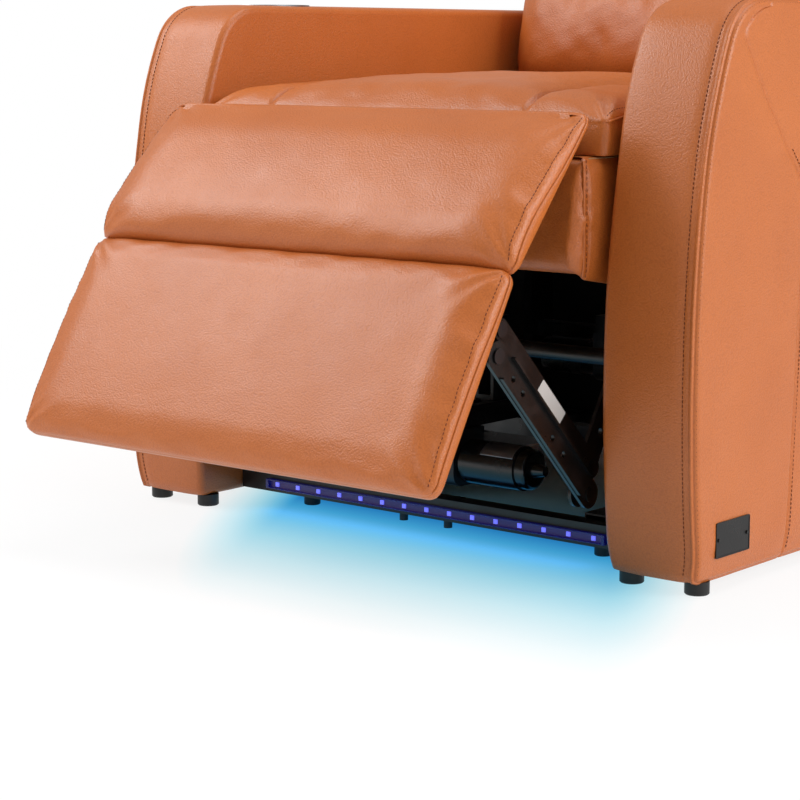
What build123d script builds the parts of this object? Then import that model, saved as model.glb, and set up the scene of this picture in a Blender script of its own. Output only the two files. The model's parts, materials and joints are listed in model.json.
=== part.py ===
"""Power recliner seat for a cinema row, with a two-panel footrest on a four-bar linkage.

Millimetres, +Z up, the sitter looks towards -Y.  The origin is on the floor, on the
centre plane, half way between the front and the rear of the chair at rest.
"""
from build123d import *
from math import cos, hypot, radians, sin
import os

os.makedirs("parts", exist_ok=True)

# ---------------------------------------------------------------- driving dimensions
ARM_FRONT_Y = -288.8        # front of the arms at their foot, from the origin
SEAT_GAP = 590.0            # clear width between the two arms
ARM_WIDTH = 114.0
ARM_DEPTH = 860.0
ARM_HEIGHT = 600.0
ARM_FOOT_HEIGHT = 14.0      # the arms stand this far off the floor
ARM_BULGE = 15.0            # how far the arm's front swells ahead of its foot
ARM_EDGE_RADIUS = 9.0
ARM_PADDING = 15.0          # foam and leather on the arm's wooden box
BOX_BOARD = 12.0            # plywood of the arm boxes and footrest boards
LINING_THICKNESS = 0.8
CURTAIN_THICKNESS = 1.5     # cloth stretched between the arms behind the base

CUP_RADIUS = 38.5
CUP_DEPTH = 85.0
CUP_WALL = 2.0
CUP_FLANGE = 9.0
CUP_BEHIND_FRONT = 185.0

BAR_SIZE = 25.0             # square cross bars
BAR_BEHIND_FRONT = 68.0
RAIL_SIZE = 30.0            # square base rails
RAIL_INSET = 79.0           # from an arm's inner side to the middle of its base rail
TUBE_WALL = 2.0
BASE_Z = 18.0               # underside of the base rails and bars
UPRIGHTS_BEHIND = (195.0, 595.0)
UPRIGHT_WALL = 2.5
UPRIGHT_WIDTH = 50.0
REAR_BAR_BEHIND = 660.0

LED_PITCH = 33.3
LED_COUNT = 15
LED_SIZE = 5.0
STRIP_HEIGHT = 11.0
STRIP_DEPTH = 7.0
STRIP_MARGIN = 12.0         # channel past the first and last diode

SEAT_PLATE_INSET = 51.0     # from an arm to the inner face of its fixed mechanism plate
PLATE = 4.0                 # sheet steel of the mechanism
PLANE_GAP = 2.0             # clear space between neighbouring link planes
SEAT_RAIL_Z = 335.0         # underside of the wooden seat rails
SEAT_RAIL_HEIGHT = 105.0
SEAT_RAIL_WIDTH = 25.0
BUTT_GAP = 0.1              # at the butt joints of a wooden frame
SEAT_BOX_INSET = 20.0       # from an arm to the wooden seat box and the footrest boards
SEAT_BOX_REAR = 578.0
APRON_SIDE = 5.0
STRAP_WIDTH = 60.0
STRAP_THICKNESS = 1.5
STRAP_PITCH = 100.0
STRAP_COUNT = 5
CUSHION_INSET = 9.0         # from an arm to the seat's and the back's cushions
SEAT_CROWN_Z = 522.0
SEAT_CUSHION_FRONT = 1.0
SEAT_CUSHION_REAR = 548.0
CHANNEL_INSET = 104.0       # from the seat cushion's side to its sewn channel
CHANNEL_WIDTH = 8.0
CHANNEL_DEPTH = 9.0
SOFT_GAP = 0.3              # a cushion's clearance to what carries it

# Footrest linkage, as (distance behind the arm front, height), at rest.
FLAP_HINGE = (-18.0, 474.0)
FLAP_SLOPE = 50.2           # degrees below horizontal
FLAP_REACH = 191.0          # hinge to board hinge, along the flap
FLAP_BACK = 14.0            # back face of the flap board ahead of its hinge
BOARD_SLOPE = 60.2
BOARD_BACK = 6.0            # back face of the main board ahead of the board hinge
BOARD_LENGTH = 228.0
PAD_INSET = 3.0             # from an arm's inner side to a footrest pad's side, seen from ahead
PAD_CROWN = 33.0            # swell of the footrest pads ahead of their boards
CARRIER_PIVOT = (138.0, 315.0)
LOWER_PIVOT = (8.0, 89.7)
UPPER_PIVOT = (23.2, 115.0)
LINK_FOOT = (71.6, -36.8)   # main link's pivot on the board bracket: along, behind
BRACKET_OFFSET = (14.5, 24.5)   # from that pivot to the upper link's pivot
LINK_WIDTH = 30.0
UPPER_LINK_WIDTH = 22.0
RIB = 3.0
RIB_HEIGHT = 5.0
PIN_RADIUS = 5.0
PIN_CLEARANCE = 0.05
OPEN_CLEARANCE = 1.3        # extra radius of the open pivots that close the linkage
TORQUE_TUBE = (104.0, 220.0)
TORQUE_TUBE_RADIUS = 9.0
HINGE_RING = 10.0
HINGE_INSET = 44.0          # from the mechanism plate to the flap's hinge
RING_GAP = 0.5              # side play between two hinge rings
BUTT_HINGE_INSET = 155.0    # from a board's side to the middle of its butt hinge

# Drives: a screw carriage with a slotted fork moves a pin on a lever.
LEG_LEVER = 110.0           # lever length below the carrier pivot
LEG_LEVER_ANGLE = 12.5      # degrees behind straight down, at rest
LEG_FORK_PLAY = 2.3         # room for the lever pin ahead of and behind it in the fork
LEG_FORK_SHIFT = -1.44
LEG_RATE = 103.35           # carriage travel for each radian that the flap turns
LEG_OPEN = 55.0             # degrees that the flap rises from rest to flat
LEG_CLOSED = 30.0           # degrees that it folds down from rest
LEG_DRIVE_X = 20.0
LEG_TRACK_Z = 136.0
LEG_MOTOR_BEHIND = 88.0
BACK_LEVER = 80.0
BACK_LEVER_ANGLE = 17.5
BACK_FORK_PLAY = 0.6
BACK_DRIVE_X = -70.0
BACK_TRACK_Z = 192.0
TRACK_WIDTH = 34.0
TRACK_HEIGHT = 24.0
TRACK_WALL = 2.5
TRACK_SLOT = 14.0
TRACK_CAP = 3.0
SCREW_RADIUS = 4.0
CARRIAGE_LENGTH = 30.0
FORK_WIDTH = 26.0
GEARBOX_WIDTH = 46.0
GEARBOX_HEIGHT = 64.0
DRIVE_TUBE = 20.0
MOTOR_RADIUS = 25.0
MOTOR_LENGTH = 76.0

# Backrest, measured along its lean (up) and ahead of its frame plane.
BACK_PIVOT = (620.0, 330.0)
BACK_LEAN = 14.0
BACK_TOP = 780.0
BACK_BOTTOM = 70.0
BACK_POST = 20.0
BACK_POST_DEPTH = 30.0
BACK_SHELL = 12.0
BACK_CROWN = 112.0
LUMBAR_BOTTOM = 142.0
LUMBAR_TOP = 420.0
HEADREST_PIVOT = (632.0, 60.0)
HEAD_HINGE_INSET = 176.0    # from the backrest's side to the headrest's hinge
HEADREST_BOTTOM = 628.0
HEADREST_CROWN = 92.0
SHAFT_RADIUS = 9.0

PANEL_LENGTH = 132.0
PANEL_HEIGHT = 34.0
PANEL_THICKNESS = 2.5
PANEL_BEHIND_FRONT = 230.0
PANEL_BELOW_TOP = 44.0
BUTTON_RADIUS = 8.0
BUTTON_PITCH = 34.0
BUTTON_COUNT = 3
BUTTON_CLEARANCE = 0.15

BADGE_LENGTH = 64.0
BADGE_HEIGHT = 37.0
BADGE_THICKNESS = 1.6

# ---------------------------------------------------------------- derived places
HALF_GAP = SEAT_GAP / 2
ARM_MID = HALF_GAP + ARM_WIDTH / 2
RAIL_X = HALF_GAP - RAIL_INSET
SEAT_PLATE_X = HALF_GAP - SEAT_PLATE_INSET
SEAT_BOX_HALF = HALF_GAP - SEAT_BOX_INSET
CUSHION_HALF = HALF_GAP - CUSHION_INSET
PAD_HALF = HALF_GAP - PAD_INSET
HINGE_X = SEAT_PLATE_X - HINGE_INSET
BUTT_HINGE_X = SEAT_BOX_HALF - BUTT_HINGE_INSET
HEAD_HINGE_X = CUSHION_HALF - HEAD_HINGE_INSET
PANEL_Z = ARM_HEIGHT - PANEL_BELOW_TOP
UPRIGHT_X = RAIL_X + RAIL_SIZE / 2
SEAT_TOP_Z = SEAT_RAIL_Z + SEAT_RAIL_HEIGHT
STRAP_TOP = SEAT_TOP_Z + STRAP_THICKNESS
CARRIER_X = SEAT_PLATE_X + PLATE + PLANE_GAP
UPPER_LINK_X = CARRIER_X + PLATE + PLANE_GAP
MAIN_LINK_X = UPPER_LINK_X + PLATE + 1.5 * PLANE_GAP
SIDES = (("left", -1), ("right", 1))


def at(place):
    """A side-view place, given behind the arm front and above the floor, as (Y, Z)."""
    return (ARM_FRONT_Y + place[0], place[1])


def on_slope(origin, slope, along, ahead):
    """The place a distance along a panel that slopes down to the front, and ahead of it."""
    a = radians(slope)
    return (
        origin[0] - along * cos(a) - ahead * sin(a),
        origin[1] - along * sin(a) + ahead * cos(a),
    )


def on_flap(along, ahead):
    """A place on the flap, from its hinge."""
    return on_slope(FLAP_HINGE, FLAP_SLOPE, along, ahead)


BOARD_HINGE = on_flap(FLAP_REACH, FLAP_BACK - BOARD_BACK)


def on_board(along, ahead):
    """A place on the main footrest board, from the board hinge."""
    return on_slope(BOARD_HINGE, BOARD_SLOPE, along, ahead)


def on_back(up, ahead):
    """A place on the backrest, from its pivot."""
    a = radians(BACK_LEAN)
    return (
        BACK_PIVOT[0] + up * sin(a) - ahead * cos(a),
        BACK_PIVOT[1] + up * cos(a) + ahead * sin(a),
    )


LINK_PIVOT = on_board(*LINK_FOOT)
LINK_PIVOT_2 = (LINK_PIVOT[0] + BRACKET_OFFSET[0], LINK_PIVOT[1] + BRACKET_OFFSET[1])
LINK_LENGTH = hypot(LINK_PIVOT[0] - LOWER_PIVOT[0], LINK_PIVOT[1] - LOWER_PIVOT[1])
LEG_PIN = (
    CARRIER_PIVOT[0] + LEG_LEVER * sin(radians(LEG_LEVER_ANGLE)),
    CARRIER_PIVOT[1] - LEG_LEVER * cos(radians(LEG_LEVER_ANGLE)),
)
BACK_PIN = (
    BACK_PIVOT[0] + BACK_LEVER * sin(radians(BACK_LEVER_ANGLE)),
    BACK_PIVOT[1] - BACK_LEVER * cos(radians(BACK_LEVER_ANGLE)),
)


def span(side, a, b):
    """Two distances from the centre plane as a low and a high X on one side."""
    return (min(side * a, side * b), max(side * a, side * b))


def write(builder, name):
    """Label a finished piece and write it as its own file."""
    builder.part.label = name
    export_step(builder.part, f"parts/{name}.step")


def discs(x, rounds):
    """Round faces in the side plane at x, each given as (place, radius)."""
    with BuildSketch(Plane.YZ.offset(x)) as sketch:
        for place, radius in rounds:
            with Locations(at(place)):
                Circle(radius)
    return sketch.sketch


def wrapped(x, rounds):
    """The outline pulled tight round some discs in the side plane at x."""
    with BuildSketch(Plane.YZ.offset(x)) as sketch:
        for place, radius in rounds:
            with Locations(at(place)):
                Circle(radius)
        make_hull()
    return sketch.sketch


def plates(*specs):
    """Flat plates in the side plane: each is (x, thickness, circles to wrap, holes)."""
    with BuildPart() as part:
        for x, thickness, rounds, holes in specs:
            extrude(wrapped(x, rounds), amount=thickness)
            extrude(discs(x, holes), amount=thickness, mode=Mode.SUBTRACT)
    return part


def cross_pins(specs):
    """Round pins along X: each is (x from, x to, place, radius)."""
    with BuildPart() as part:
        for x0, x1, place, radius in specs:
            extrude(discs(x0, [(place, radius)]), amount=x1 - x0)
    return part


def side_prism(x0, x1, places, mode=Mode.ADD):
    """A straight-sided profile in the side plane, carried from x0 to x1."""
    with BuildSketch(Plane.YZ.offset(x0)) as sketch:
        with BuildLine():
            Polyline(*[at(place) for place in places], close=True)
        make_face()
    extrude(sketch.sketch, amount=x1 - x0, mode=mode)


# ---------------------------------------------------------------- arms
def arm_outline(x):
    """Side outline of an arm at x: swelling front, rounded front top and rear top."""
    foot = at((0, ARM_FOOT_HEIGHT))
    belly = at((-ARM_BULGE, 0.4 * ARM_HEIGHT))
    shoulder = at((6, 0.752 * ARM_HEIGHT))
    brow = at((40, ARM_HEIGHT - 40))
    crest = at((103, ARM_HEIGHT))
    rear_top = at((ARM_DEPTH - 60, ARM_HEIGHT))
    rear = at((ARM_DEPTH, ARM_HEIGHT - 60))
    rear_foot = at((ARM_DEPTH, ARM_FOOT_HEIGHT))
    with BuildSketch(Plane.YZ.offset(x)) as sketch:
        with BuildLine():
            front = ThreePointArc(foot, belly, shoulder)
            upper = TangentArc(shoulder, brow, tangent=front % 1)
            TangentArc(brow, crest, tangent=upper % 1)
            Line(crest, rear_top)
            TangentArc(rear_top, rear, tangent=(1, 0))
            Line(rear, rear_foot)
            Line(rear_foot, foot)
        make_face()
    return sketch.sketch


def arm_box_places(inset):
    """Side outline of the wooden box inside an arm, drawn in by an inset."""
    low = ARM_FOOT_HEIGHT + inset
    high = ARM_HEIGHT - 2 * ARM_PADDING - inset
    return [
        (20 + inset, low),
        (12 + inset, 0.42 * ARM_HEIGHT),
        (24 + inset, 0.73 * ARM_HEIGHT),
        (85 + inset, high),
        (ARM_DEPTH - 1.5 * ARM_PADDING - inset, high),
        (ARM_DEPTH - 1.5 * ARM_PADDING - inset, low),
    ]


def build_arm(name, side):
    """One arm's padded leather cover, with its cup well and the switch panel's recess."""
    inner = side * HALF_GAP
    x0 = min(inner, side * (HALF_GAP + ARM_WIDTH))
    cup_place = (side * ARM_MID, ARM_FRONT_Y + CUP_BEHIND_FRONT)
    with BuildPart() as cover:
        extrude(arm_outline(x0), amount=ARM_WIDTH)
        across = cover.edges().filter_by(Axis.X)
        rim = cover.edges() - across
        rim = rim.filter_by(lambda e: e.center().Z > ARM_FOOT_HEIGHT + 1)
        fillet(rim, radius=ARM_EDGE_RADIUS)
        box_x = (x0 + ARM_PADDING, x0 + ARM_WIDTH - ARM_PADDING)
        side_prism(*box_x, arm_box_places(0), mode=Mode.SUBTRACT)
        with BuildSketch(Plane.XY.offset(ARM_HEIGHT)):
            with Locations(cup_place):
                Circle(CUP_RADIUS + CUP_WALL)
        extrude(amount=-3 * ARM_PADDING, mode=Mode.SUBTRACT)
        if side > 0:
            with BuildSketch(Plane.YZ.offset(inner)):
                with Locations(at((PANEL_BEHIND_FRONT, PANEL_Z))):
                    Rectangle(PANEL_LENGTH - 12, PANEL_HEIGHT - 10)
            extrude(amount=ARM_PADDING, mode=Mode.SUBTRACT)
    write(cover, f"{name}_arm_cover")


def build_arm_insides():
    """What both arms hold: wooden boxes, cup holders, and the black linings between them."""
    wall = CUP_RADIUS + CUP_WALL
    cup_y = ARM_FRONT_Y + CUP_BEHIND_FRONT
    with BuildPart() as boxes:
        for _, side in SIDES:
            edges = (side * (HALF_GAP + ARM_PADDING), side * (HALF_GAP + ARM_WIDTH - ARM_PADDING))
            side_prism(min(edges), max(edges), arm_box_places(0))
            hollow = (min(edges) + BOX_BOARD, max(edges) - BOX_BOARD)
            side_prism(*hollow, arm_box_places(BOX_BOARD), mode=Mode.SUBTRACT)
        with BuildSketch(Plane.XY.offset(ARM_HEIGHT - 2 * ARM_PADDING)):
            for _, side in SIDES:
                with Locations((side * ARM_MID, cup_y)):
                    Circle(wall)
        extrude(amount=2 * ARM_PADDING - CUP_DEPTH, mode=Mode.SUBTRACT)
    write(boxes, "arm_boxes")

    with BuildPart() as cups:
        for _, side in SIDES:
            x = side * ARM_MID
            rim = wall + CUP_FLANGE
            with BuildSketch(Plane.XZ.offset(-cup_y)):
                with BuildLine():
                    Polyline(
                        (x, ARM_HEIGHT - CUP_DEPTH), (x + wall, ARM_HEIGHT - CUP_DEPTH),
                        (x + wall, ARM_HEIGHT), (x + rim, ARM_HEIGHT),
                        (x + rim - 1, ARM_HEIGHT + CUP_WALL),
                        (x + CUP_RADIUS, ARM_HEIGHT + CUP_WALL),
                        (x + CUP_RADIUS, ARM_HEIGHT - CUP_DEPTH + CUP_WALL),
                        (x, ARM_HEIGHT - CUP_DEPTH + CUP_WALL), close=True,
                    )
                make_face()
            revolve(axis=Axis((x, cup_y, 0), (0, 0, 1)))
    write(cups, "cup_holders")

    with BuildPart() as linings:
        for _, side in SIDES:
            edges = (side * HALF_GAP, side * (HALF_GAP - LINING_THICKNESS))
            side_prism(min(edges), max(edges), [
                (96, ARM_FOOT_HEIGHT + 10), (96, SEAT_TOP_Z + 10),
                (ARM_DEPTH - 20, SEAT_TOP_Z + 10), (ARM_DEPTH - 20, ARM_FOOT_HEIGHT + 10),
            ])
    write(linings, "arm_linings")
    reach = HALF_GAP - LINING_THICKNESS
    with BuildPart() as curtain:
        side_prism(-reach, reach, [
            (REAR_BAR_BEHIND + BAR_SIZE, BASE_Z + 2),
            (REAR_BAR_BEHIND + BAR_SIZE, SEAT_RAIL_Z - 10),
            (REAR_BAR_BEHIND + BAR_SIZE + CURTAIN_THICKNESS, SEAT_RAIL_Z - 10),
            (REAR_BAR_BEHIND + BAR_SIZE + CURTAIN_THICKNESS, BASE_Z + 2),
        ])
    write(curtain, "rear_lining")


def build_arm_feet():
    """Two short round feet under each end of each arm."""
    with BuildPart() as feet:
        for side in (-1, 1):
            for inset in (16, ARM_WIDTH - 18):
                for behind in (24, ARM_DEPTH - 24):
                    x = side * (HALF_GAP + inset)
                    with BuildSketch(Plane.XY):
                        with Locations((x, ARM_FRONT_Y + behind)):
                            Circle(13)
                    extrude(amount=ARM_FOOT_HEIGHT)
        chamfer(feet.faces().group_by(Axis.Z)[0].edges(), length=1.2)
    write(feet, "arm_feet")


def build_badge():
    """A bare black plate with a light rim and two rivets, on the right arm's outer side."""
    x = HALF_GAP + ARM_WIDTH
    centre = at((60, 56.5))
    with BuildPart() as plate:
        with BuildSketch(Plane.YZ.offset(x)):
            with Locations(centre):
                RectangleRounded(BADGE_LENGTH, BADGE_HEIGHT, 2)
        extrude(amount=BADGE_THICKNESS)
        with BuildSketch(Plane.YZ.offset(x + BADGE_THICKNESS)):
            with Locations(centre):
                RectangleRounded(BADGE_LENGTH - 2.4, BADGE_HEIGHT - 2.4, 1)
        extrude(amount=-0.4, mode=Mode.SUBTRACT)
        with BuildSketch(Plane.YZ.offset(x + BADGE_THICKNESS - 0.4)):
            with Locations(centre):
                with GridLocations(BADGE_LENGTH - 10, 0, 2, 1):
                    Circle(2)
        extrude(amount=1.2)
    write(plate, "badge_plate")


def build_controls():
    """Switch panel on the right arm's inner side and its push buttons."""
    centre = at((PANEL_BEHIND_FRONT, PANEL_Z))
    with BuildPart() as panel:
        with BuildSketch(Plane.YZ.offset(HALF_GAP - PANEL_THICKNESS)):
            with Locations(centre):
                RectangleRounded(PANEL_LENGTH, PANEL_HEIGHT, 6)
                with GridLocations(BUTTON_PITCH, 0, BUTTON_COUNT, 1):
                    Circle(BUTTON_RADIUS + BUTTON_CLEARANCE, mode=Mode.SUBTRACT)
        extrude(amount=PANEL_THICKNESS)
    write(panel, "control_panel")
    for index in range(BUTTON_COUNT):
        y = centre[0] + (index - (BUTTON_COUNT - 1) / 2) * BUTTON_PITCH
        with BuildPart() as button:
            with BuildSketch(Plane.YZ.offset(HALF_GAP - PANEL_THICKNESS - 2.2)):
                with Locations((y, centre[1])):
                    Circle(BUTTON_RADIUS)
            extrude(amount=PANEL_THICKNESS + 6)
            fillet(button.faces().sort_by(Axis.X)[0].edges(), radius=0.8)
        write(button, f"button_{index + 1}")


# ---------------------------------------------------------------- base
def square_tube(x_range, y_range, z_range):
    """Add a square tube along its longest side, open at both ends."""
    size = [b - a for a, b in (x_range, y_range, z_range)]
    mid = [(a + b) / 2 for a, b in (x_range, y_range, z_range)]
    hollow = [s - 2 * TUBE_WALL for s in size]
    hollow[size.index(max(size))] = max(size)
    with Locations(tuple(mid)):
        Box(*size)
        Box(*hollow, mode=Mode.SUBTRACT)


def build_base():
    """Base rails, cross bars, uprights, feet and the bolts under the front bar."""
    bar_front = ARM_FRONT_Y + BAR_BEHIND_FRONT
    rear = ARM_FRONT_Y + REAR_BAR_BEHIND
    bar_z = (BASE_Z, BASE_Z + BAR_SIZE)
    with BuildPart() as bars:
        for y, reach in ((bar_front, HALF_GAP), (rear, HALF_GAP - LINING_THICKNESS)):
            square_tube((-reach, reach), (y, y + BAR_SIZE), bar_z)
    write(bars, "cross_bars")
    with BuildPart() as rails:
        for side in (-1, 1):
            x = side * RAIL_X - RAIL_SIZE / 2
            square_tube(
                (x, x + RAIL_SIZE), (bar_front + BAR_SIZE, rear), (BASE_Z, BASE_Z + RAIL_SIZE)
            )
    write(rails, "base_rails")
    with BuildPart() as uprights:
        for _, side in SIDES:
            middle = side * (UPRIGHT_X + SEAT_PLATE_X) / 2
            for behind in UPRIGHTS_BEHIND:
                with BuildSketch(Plane.XY.offset(BASE_Z + 4)):
                    with Locations((middle, ARM_FRONT_Y + behind)):
                        Rectangle(SEAT_PLATE_X - UPRIGHT_X, UPRIGHT_WIDTH)
                    with Locations((middle + side * UPRIGHT_WALL, ARM_FRONT_Y + behind)):
                        Rectangle(SEAT_PLATE_X - UPRIGHT_X, UPRIGHT_WIDTH - 2 * UPRIGHT_WALL,
                                  mode=Mode.SUBTRACT)
                extrude(amount=SEAT_RAIL_Z - BASE_Z - 24)
    write(uprights, "mechanism_uprights")
    with BuildPart() as feet:
        for behind in (108, REAR_BAR_BEHIND - 20):
            with BuildSketch(Plane.XY):
                with Locations((0, ARM_FRONT_Y + behind)):
                    with GridLocations(2 * RAIL_X, 0, 2, 1):
                        Circle(10)
            extrude(amount=BASE_Z)
        chamfer(feet.faces().group_by(Axis.Z)[0].edges(), length=1)
        with BuildSketch(Plane.XY.offset(BASE_Z)):
            for x in (-47, 19):
                with Locations((x, bar_front + BAR_SIZE / 2)):
                    Circle(5)
        extrude(amount=-10)
    write(feet, "mechanism_feet")


def build_light():
    """Under-seat light: a channel on the front bar, its board, diodes and end caps."""
    front = ARM_FRONT_Y + BAR_BEHIND_FRONT
    low = BASE_Z + 5
    half = (LED_COUNT - 1) / 2 * LED_PITCH + STRIP_MARGIN
    mid_z = low + STRIP_HEIGHT / 2
    with BuildPart() as channel:
        with BuildSketch(Plane.YZ.offset(-half)):
            with Locations((front - STRIP_DEPTH / 2, mid_z)):
                Rectangle(STRIP_DEPTH, STRIP_HEIGHT)
            with Locations((front - STRIP_DEPTH / 2 - 1.5, mid_z)):
                Rectangle(STRIP_DEPTH, STRIP_HEIGHT - 2, mode=Mode.SUBTRACT)
        extrude(amount=2 * half)
        for side in (-1, 1):
            with Locations((side * (half + 2), front - STRIP_DEPTH / 2, mid_z)):
                Box(4, STRIP_DEPTH, STRIP_HEIGHT)
    write(channel, "light_channel")
    board_back = front - 1.5
    with BuildPart() as board:
        with BuildSketch(Plane.YZ.offset(-half)):
            with Locations((board_back - 0.6, mid_z)):
                Rectangle(1.2, STRIP_HEIGHT - 2)
        extrude(amount=2 * half)
    write(board, "light_board")
    with BuildPart() as diodes:
        with BuildSketch(Plane.XZ.offset(-(board_back - 1.2))):
            with Locations((0, mid_z)):
                with GridLocations(LED_PITCH, 0, LED_COUNT, 1):
                    Rectangle(LED_SIZE, LED_SIZE)
        extrude(amount=1.6)
    write(diodes, "light_diodes")


def build_seat_plates():
    """Fixed mechanism plates: a web that carries both pivots, and a flange for the rails."""
    rear = BACK_PIVOT[0]
    front = CARRIER_PIVOT[0] + 30
    flange = SEAT_BOX_HALF - SEAT_PLATE_X
    with BuildPart() as pair:
        for _, side in SIDES:
            web = (side * SEAT_PLATE_X, side * (SEAT_PLATE_X + PLATE))
            x0 = min(web)
            extrude(wrapped(x0, [
                (CARRIER_PIVOT, 20), ((front, SEAT_RAIL_Z - 12), 12),
                ((250, 272), 12), ((rear - 34, 285), 12), ((rear - 34, SEAT_RAIL_Z - 16), 12),
            ]), amount=PLATE)
            extrude(wrapped(x0, [
                ((rear - 28, 300), 12), ((rear - 28, 318), 12), (BACK_PIVOT, 22),
            ]), amount=PLATE)
            extrude(discs(x0, [
                (CARRIER_PIVOT, PIN_RADIUS), (BACK_PIVOT, SHAFT_RADIUS + PIN_CLEARANCE),
            ]), amount=PLATE, mode=Mode.SUBTRACT)
            with BuildSketch(Plane.YZ.offset(x0)):
                for behind in (235, 330, 425):
                    with Locations(at((behind, 300))):
                        SlotOverall(60, 18)
            extrude(amount=PLATE, mode=Mode.SUBTRACT)
            with Locations((
                side * (SEAT_PLATE_X + flange / 2),
                ARM_FRONT_Y + (front + SEAT_BOX_REAR) / 2, SEAT_RAIL_Z - PLATE / 2,
            )):
                Box(flange, SEAT_BOX_REAR - front, PLATE)
    write(pair, "seat_plates")
    pins = []
    for _, side in SIDES:
        head = side * (SEAT_PLATE_X - 3)
        tip = side * (CARRIER_X + PLATE + 0.3)
        pins.append((min(head, tip), max(head, tip), CARRIER_PIVOT, PIN_RADIUS))
        cap = head - side * 3
        pins.append((min(head, cap), max(head, cap), CARRIER_PIVOT, 8))
        lug = side * (HINGE_X - PLATE - 2)
        end = side * (HINGE_X + RING_GAP + PLATE + 3)
        pins.append((min(lug, end), max(lug, end), FLAP_HINGE, PIN_RADIUS))
    write(cross_pins(pins), "base_pivot_pins")


def build_seat_frame():
    """Wooden seat box, support straps, and the leather apron with slots for the raised links."""
    front = -12.0
    inner = SEAT_BOX_HALF - SEAT_RAIL_WIDTH
    rail_rear = front + SEAT_RAIL_WIDTH
    z_range = (SEAT_RAIL_Z, SEAT_TOP_Z)
    with BuildPart() as frame:
        side_prism(-SEAT_BOX_HALF, SEAT_BOX_HALF, [
            (front, z_range[0]), (front, z_range[1]),
            (rail_rear, z_range[1]), (rail_rear, z_range[0]),
        ])
        for side in (-1, 1):
            with Locations((side * HINGE_X, ARM_FRONT_Y + (front + rail_rear) / 2, SEAT_TOP_Z)):
                Box(34, SEAT_RAIL_WIDTH, 6, mode=Mode.SUBTRACT)
            x0 = min(side * inner, side * SEAT_BOX_HALF)
            side_prism(x0, x0 + SEAT_RAIL_WIDTH, [
                (rail_rear + BUTT_GAP, z_range[0]), (rail_rear + BUTT_GAP, z_range[1]),
                (SEAT_BOX_REAR, z_range[1]), (SEAT_BOX_REAR, z_range[0]),
            ])
        side_prism(BUTT_GAP - inner, inner - BUTT_GAP, [
            (SEAT_BOX_REAR - SEAT_RAIL_WIDTH, z_range[0]),
            (SEAT_BOX_REAR - SEAT_RAIL_WIDTH, z_range[1]),
            (SEAT_BOX_REAR, z_range[1]), (SEAT_BOX_REAR, z_range[0]),
        ])
    write(frame, "seat_frame")
    with BuildPart() as straps:
        strap_front = front + SEAT_RAIL_WIDTH / 2
        mid = ARM_FRONT_Y + (strap_front + SEAT_BOX_REAR) / 2
        with Locations((0, mid, SEAT_TOP_Z + STRAP_THICKNESS / 2)):
            with GridLocations(STRAP_PITCH, 0, STRAP_COUNT, 1):
                Box(STRAP_WIDTH, SEAT_BOX_REAR - strap_front, STRAP_THICKNESS)
    write(straps, "seat_straps")
    apron_half = SEAT_BOX_HALF + APRON_SIDE
    rear_edge = 45.0
    top = SEAT_TOP_Z - 4
    with BuildPart() as apron:
        with BuildSketch(Plane.YZ.offset(-apron_half)):
            with BuildLine():
                p1, p2 = at((-26, top)), at((-42, SEAT_RAIL_Z + 10))
                p3, p4 = at((-26, SEAT_RAIL_Z - 16)), at((rear_edge, SEAT_RAIL_Z - 28))
                Line(p1, p2)
                ThreePointArc(p2, at((-38, SEAT_RAIL_Z - 6)), p3)
                Line(p3, p4)
                Polyline(p4, at((rear_edge, top)), p1)
            make_face()
        extrude(amount=2 * apron_half)
        side_prism(-SEAT_BOX_HALF, SEAT_BOX_HALF, [
            (front, SEAT_RAIL_Z), (front, top + 1),
            (rear_edge + 1, top + 1), (rear_edge + 1, SEAT_RAIL_Z),
        ], mode=Mode.SUBTRACT)
        for _, side in SIDES:
            slot = span(side, CARRIER_X - PLANE_GAP, CARRIER_X + PLATE + PLANE_GAP)
            side_prism(*slot, [
                (-27, SEAT_RAIL_Z - 35), (-27, SEAT_RAIL_Z - 14),
                (rear_edge + 1, SEAT_RAIL_Z - 9), (rear_edge + 1, SEAT_RAIL_Z - 35),
            ], mode=Mode.SUBTRACT)
    write(apron, "seat_apron")


def build_hinge_lugs():
    """Lugs on the front rail, their pins, and the brackets under the flap that turn on them."""
    lug_rounds = [(FLAP_HINGE, HINGE_RING), ((-18, 445), 6), ((-8, 438.5), 1.5)]
    bracket_ends = [(on_flap(along, FLAP_BACK - 4), 3.5) for along in (30, 108)]
    with BuildPart() as lugs:
        for _, side in SIDES:
            edge = side * HINGE_X
            x0 = min(edge, edge - side * PLATE)
            extrude(wrapped(x0, lug_rounds), amount=PLATE)
            extrude(discs(x0, [(FLAP_HINGE, PIN_RADIUS)]), amount=PLATE, mode=Mode.SUBTRACT)
            with Locations((edge - side * 2, ARM_FRONT_Y + 0.5, SEAT_TOP_Z - 1.5)):
                Box(30, SEAT_RAIL_WIDTH, 3)
    write(lugs, "flap_hinge_lugs")
    with BuildPart() as brackets:
        for _, side in SIDES:
            edge = side * (HINGE_X + RING_GAP)
            x0 = min(edge, edge + side * PLATE)
            outline = wrapped(x0, [(FLAP_HINGE, HINGE_RING), bracket_ends[0]])
            extrude(outline + wrapped(x0, bracket_ends), amount=PLATE)
            hole = [(FLAP_HINGE, PIN_RADIUS + PIN_CLEARANCE)]
            extrude(discs(x0, hole), amount=PLATE, mode=Mode.SUBTRACT)
            middle = edge + side * 10
            side_prism(middle - 10, middle + 10, [
                on_flap(30, FLAP_BACK), on_flap(112, FLAP_BACK),
                on_flap(112, FLAP_BACK - PLATE), on_flap(30, FLAP_BACK - PLATE),
            ])
    write(brackets, "flap_brackets")


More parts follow.
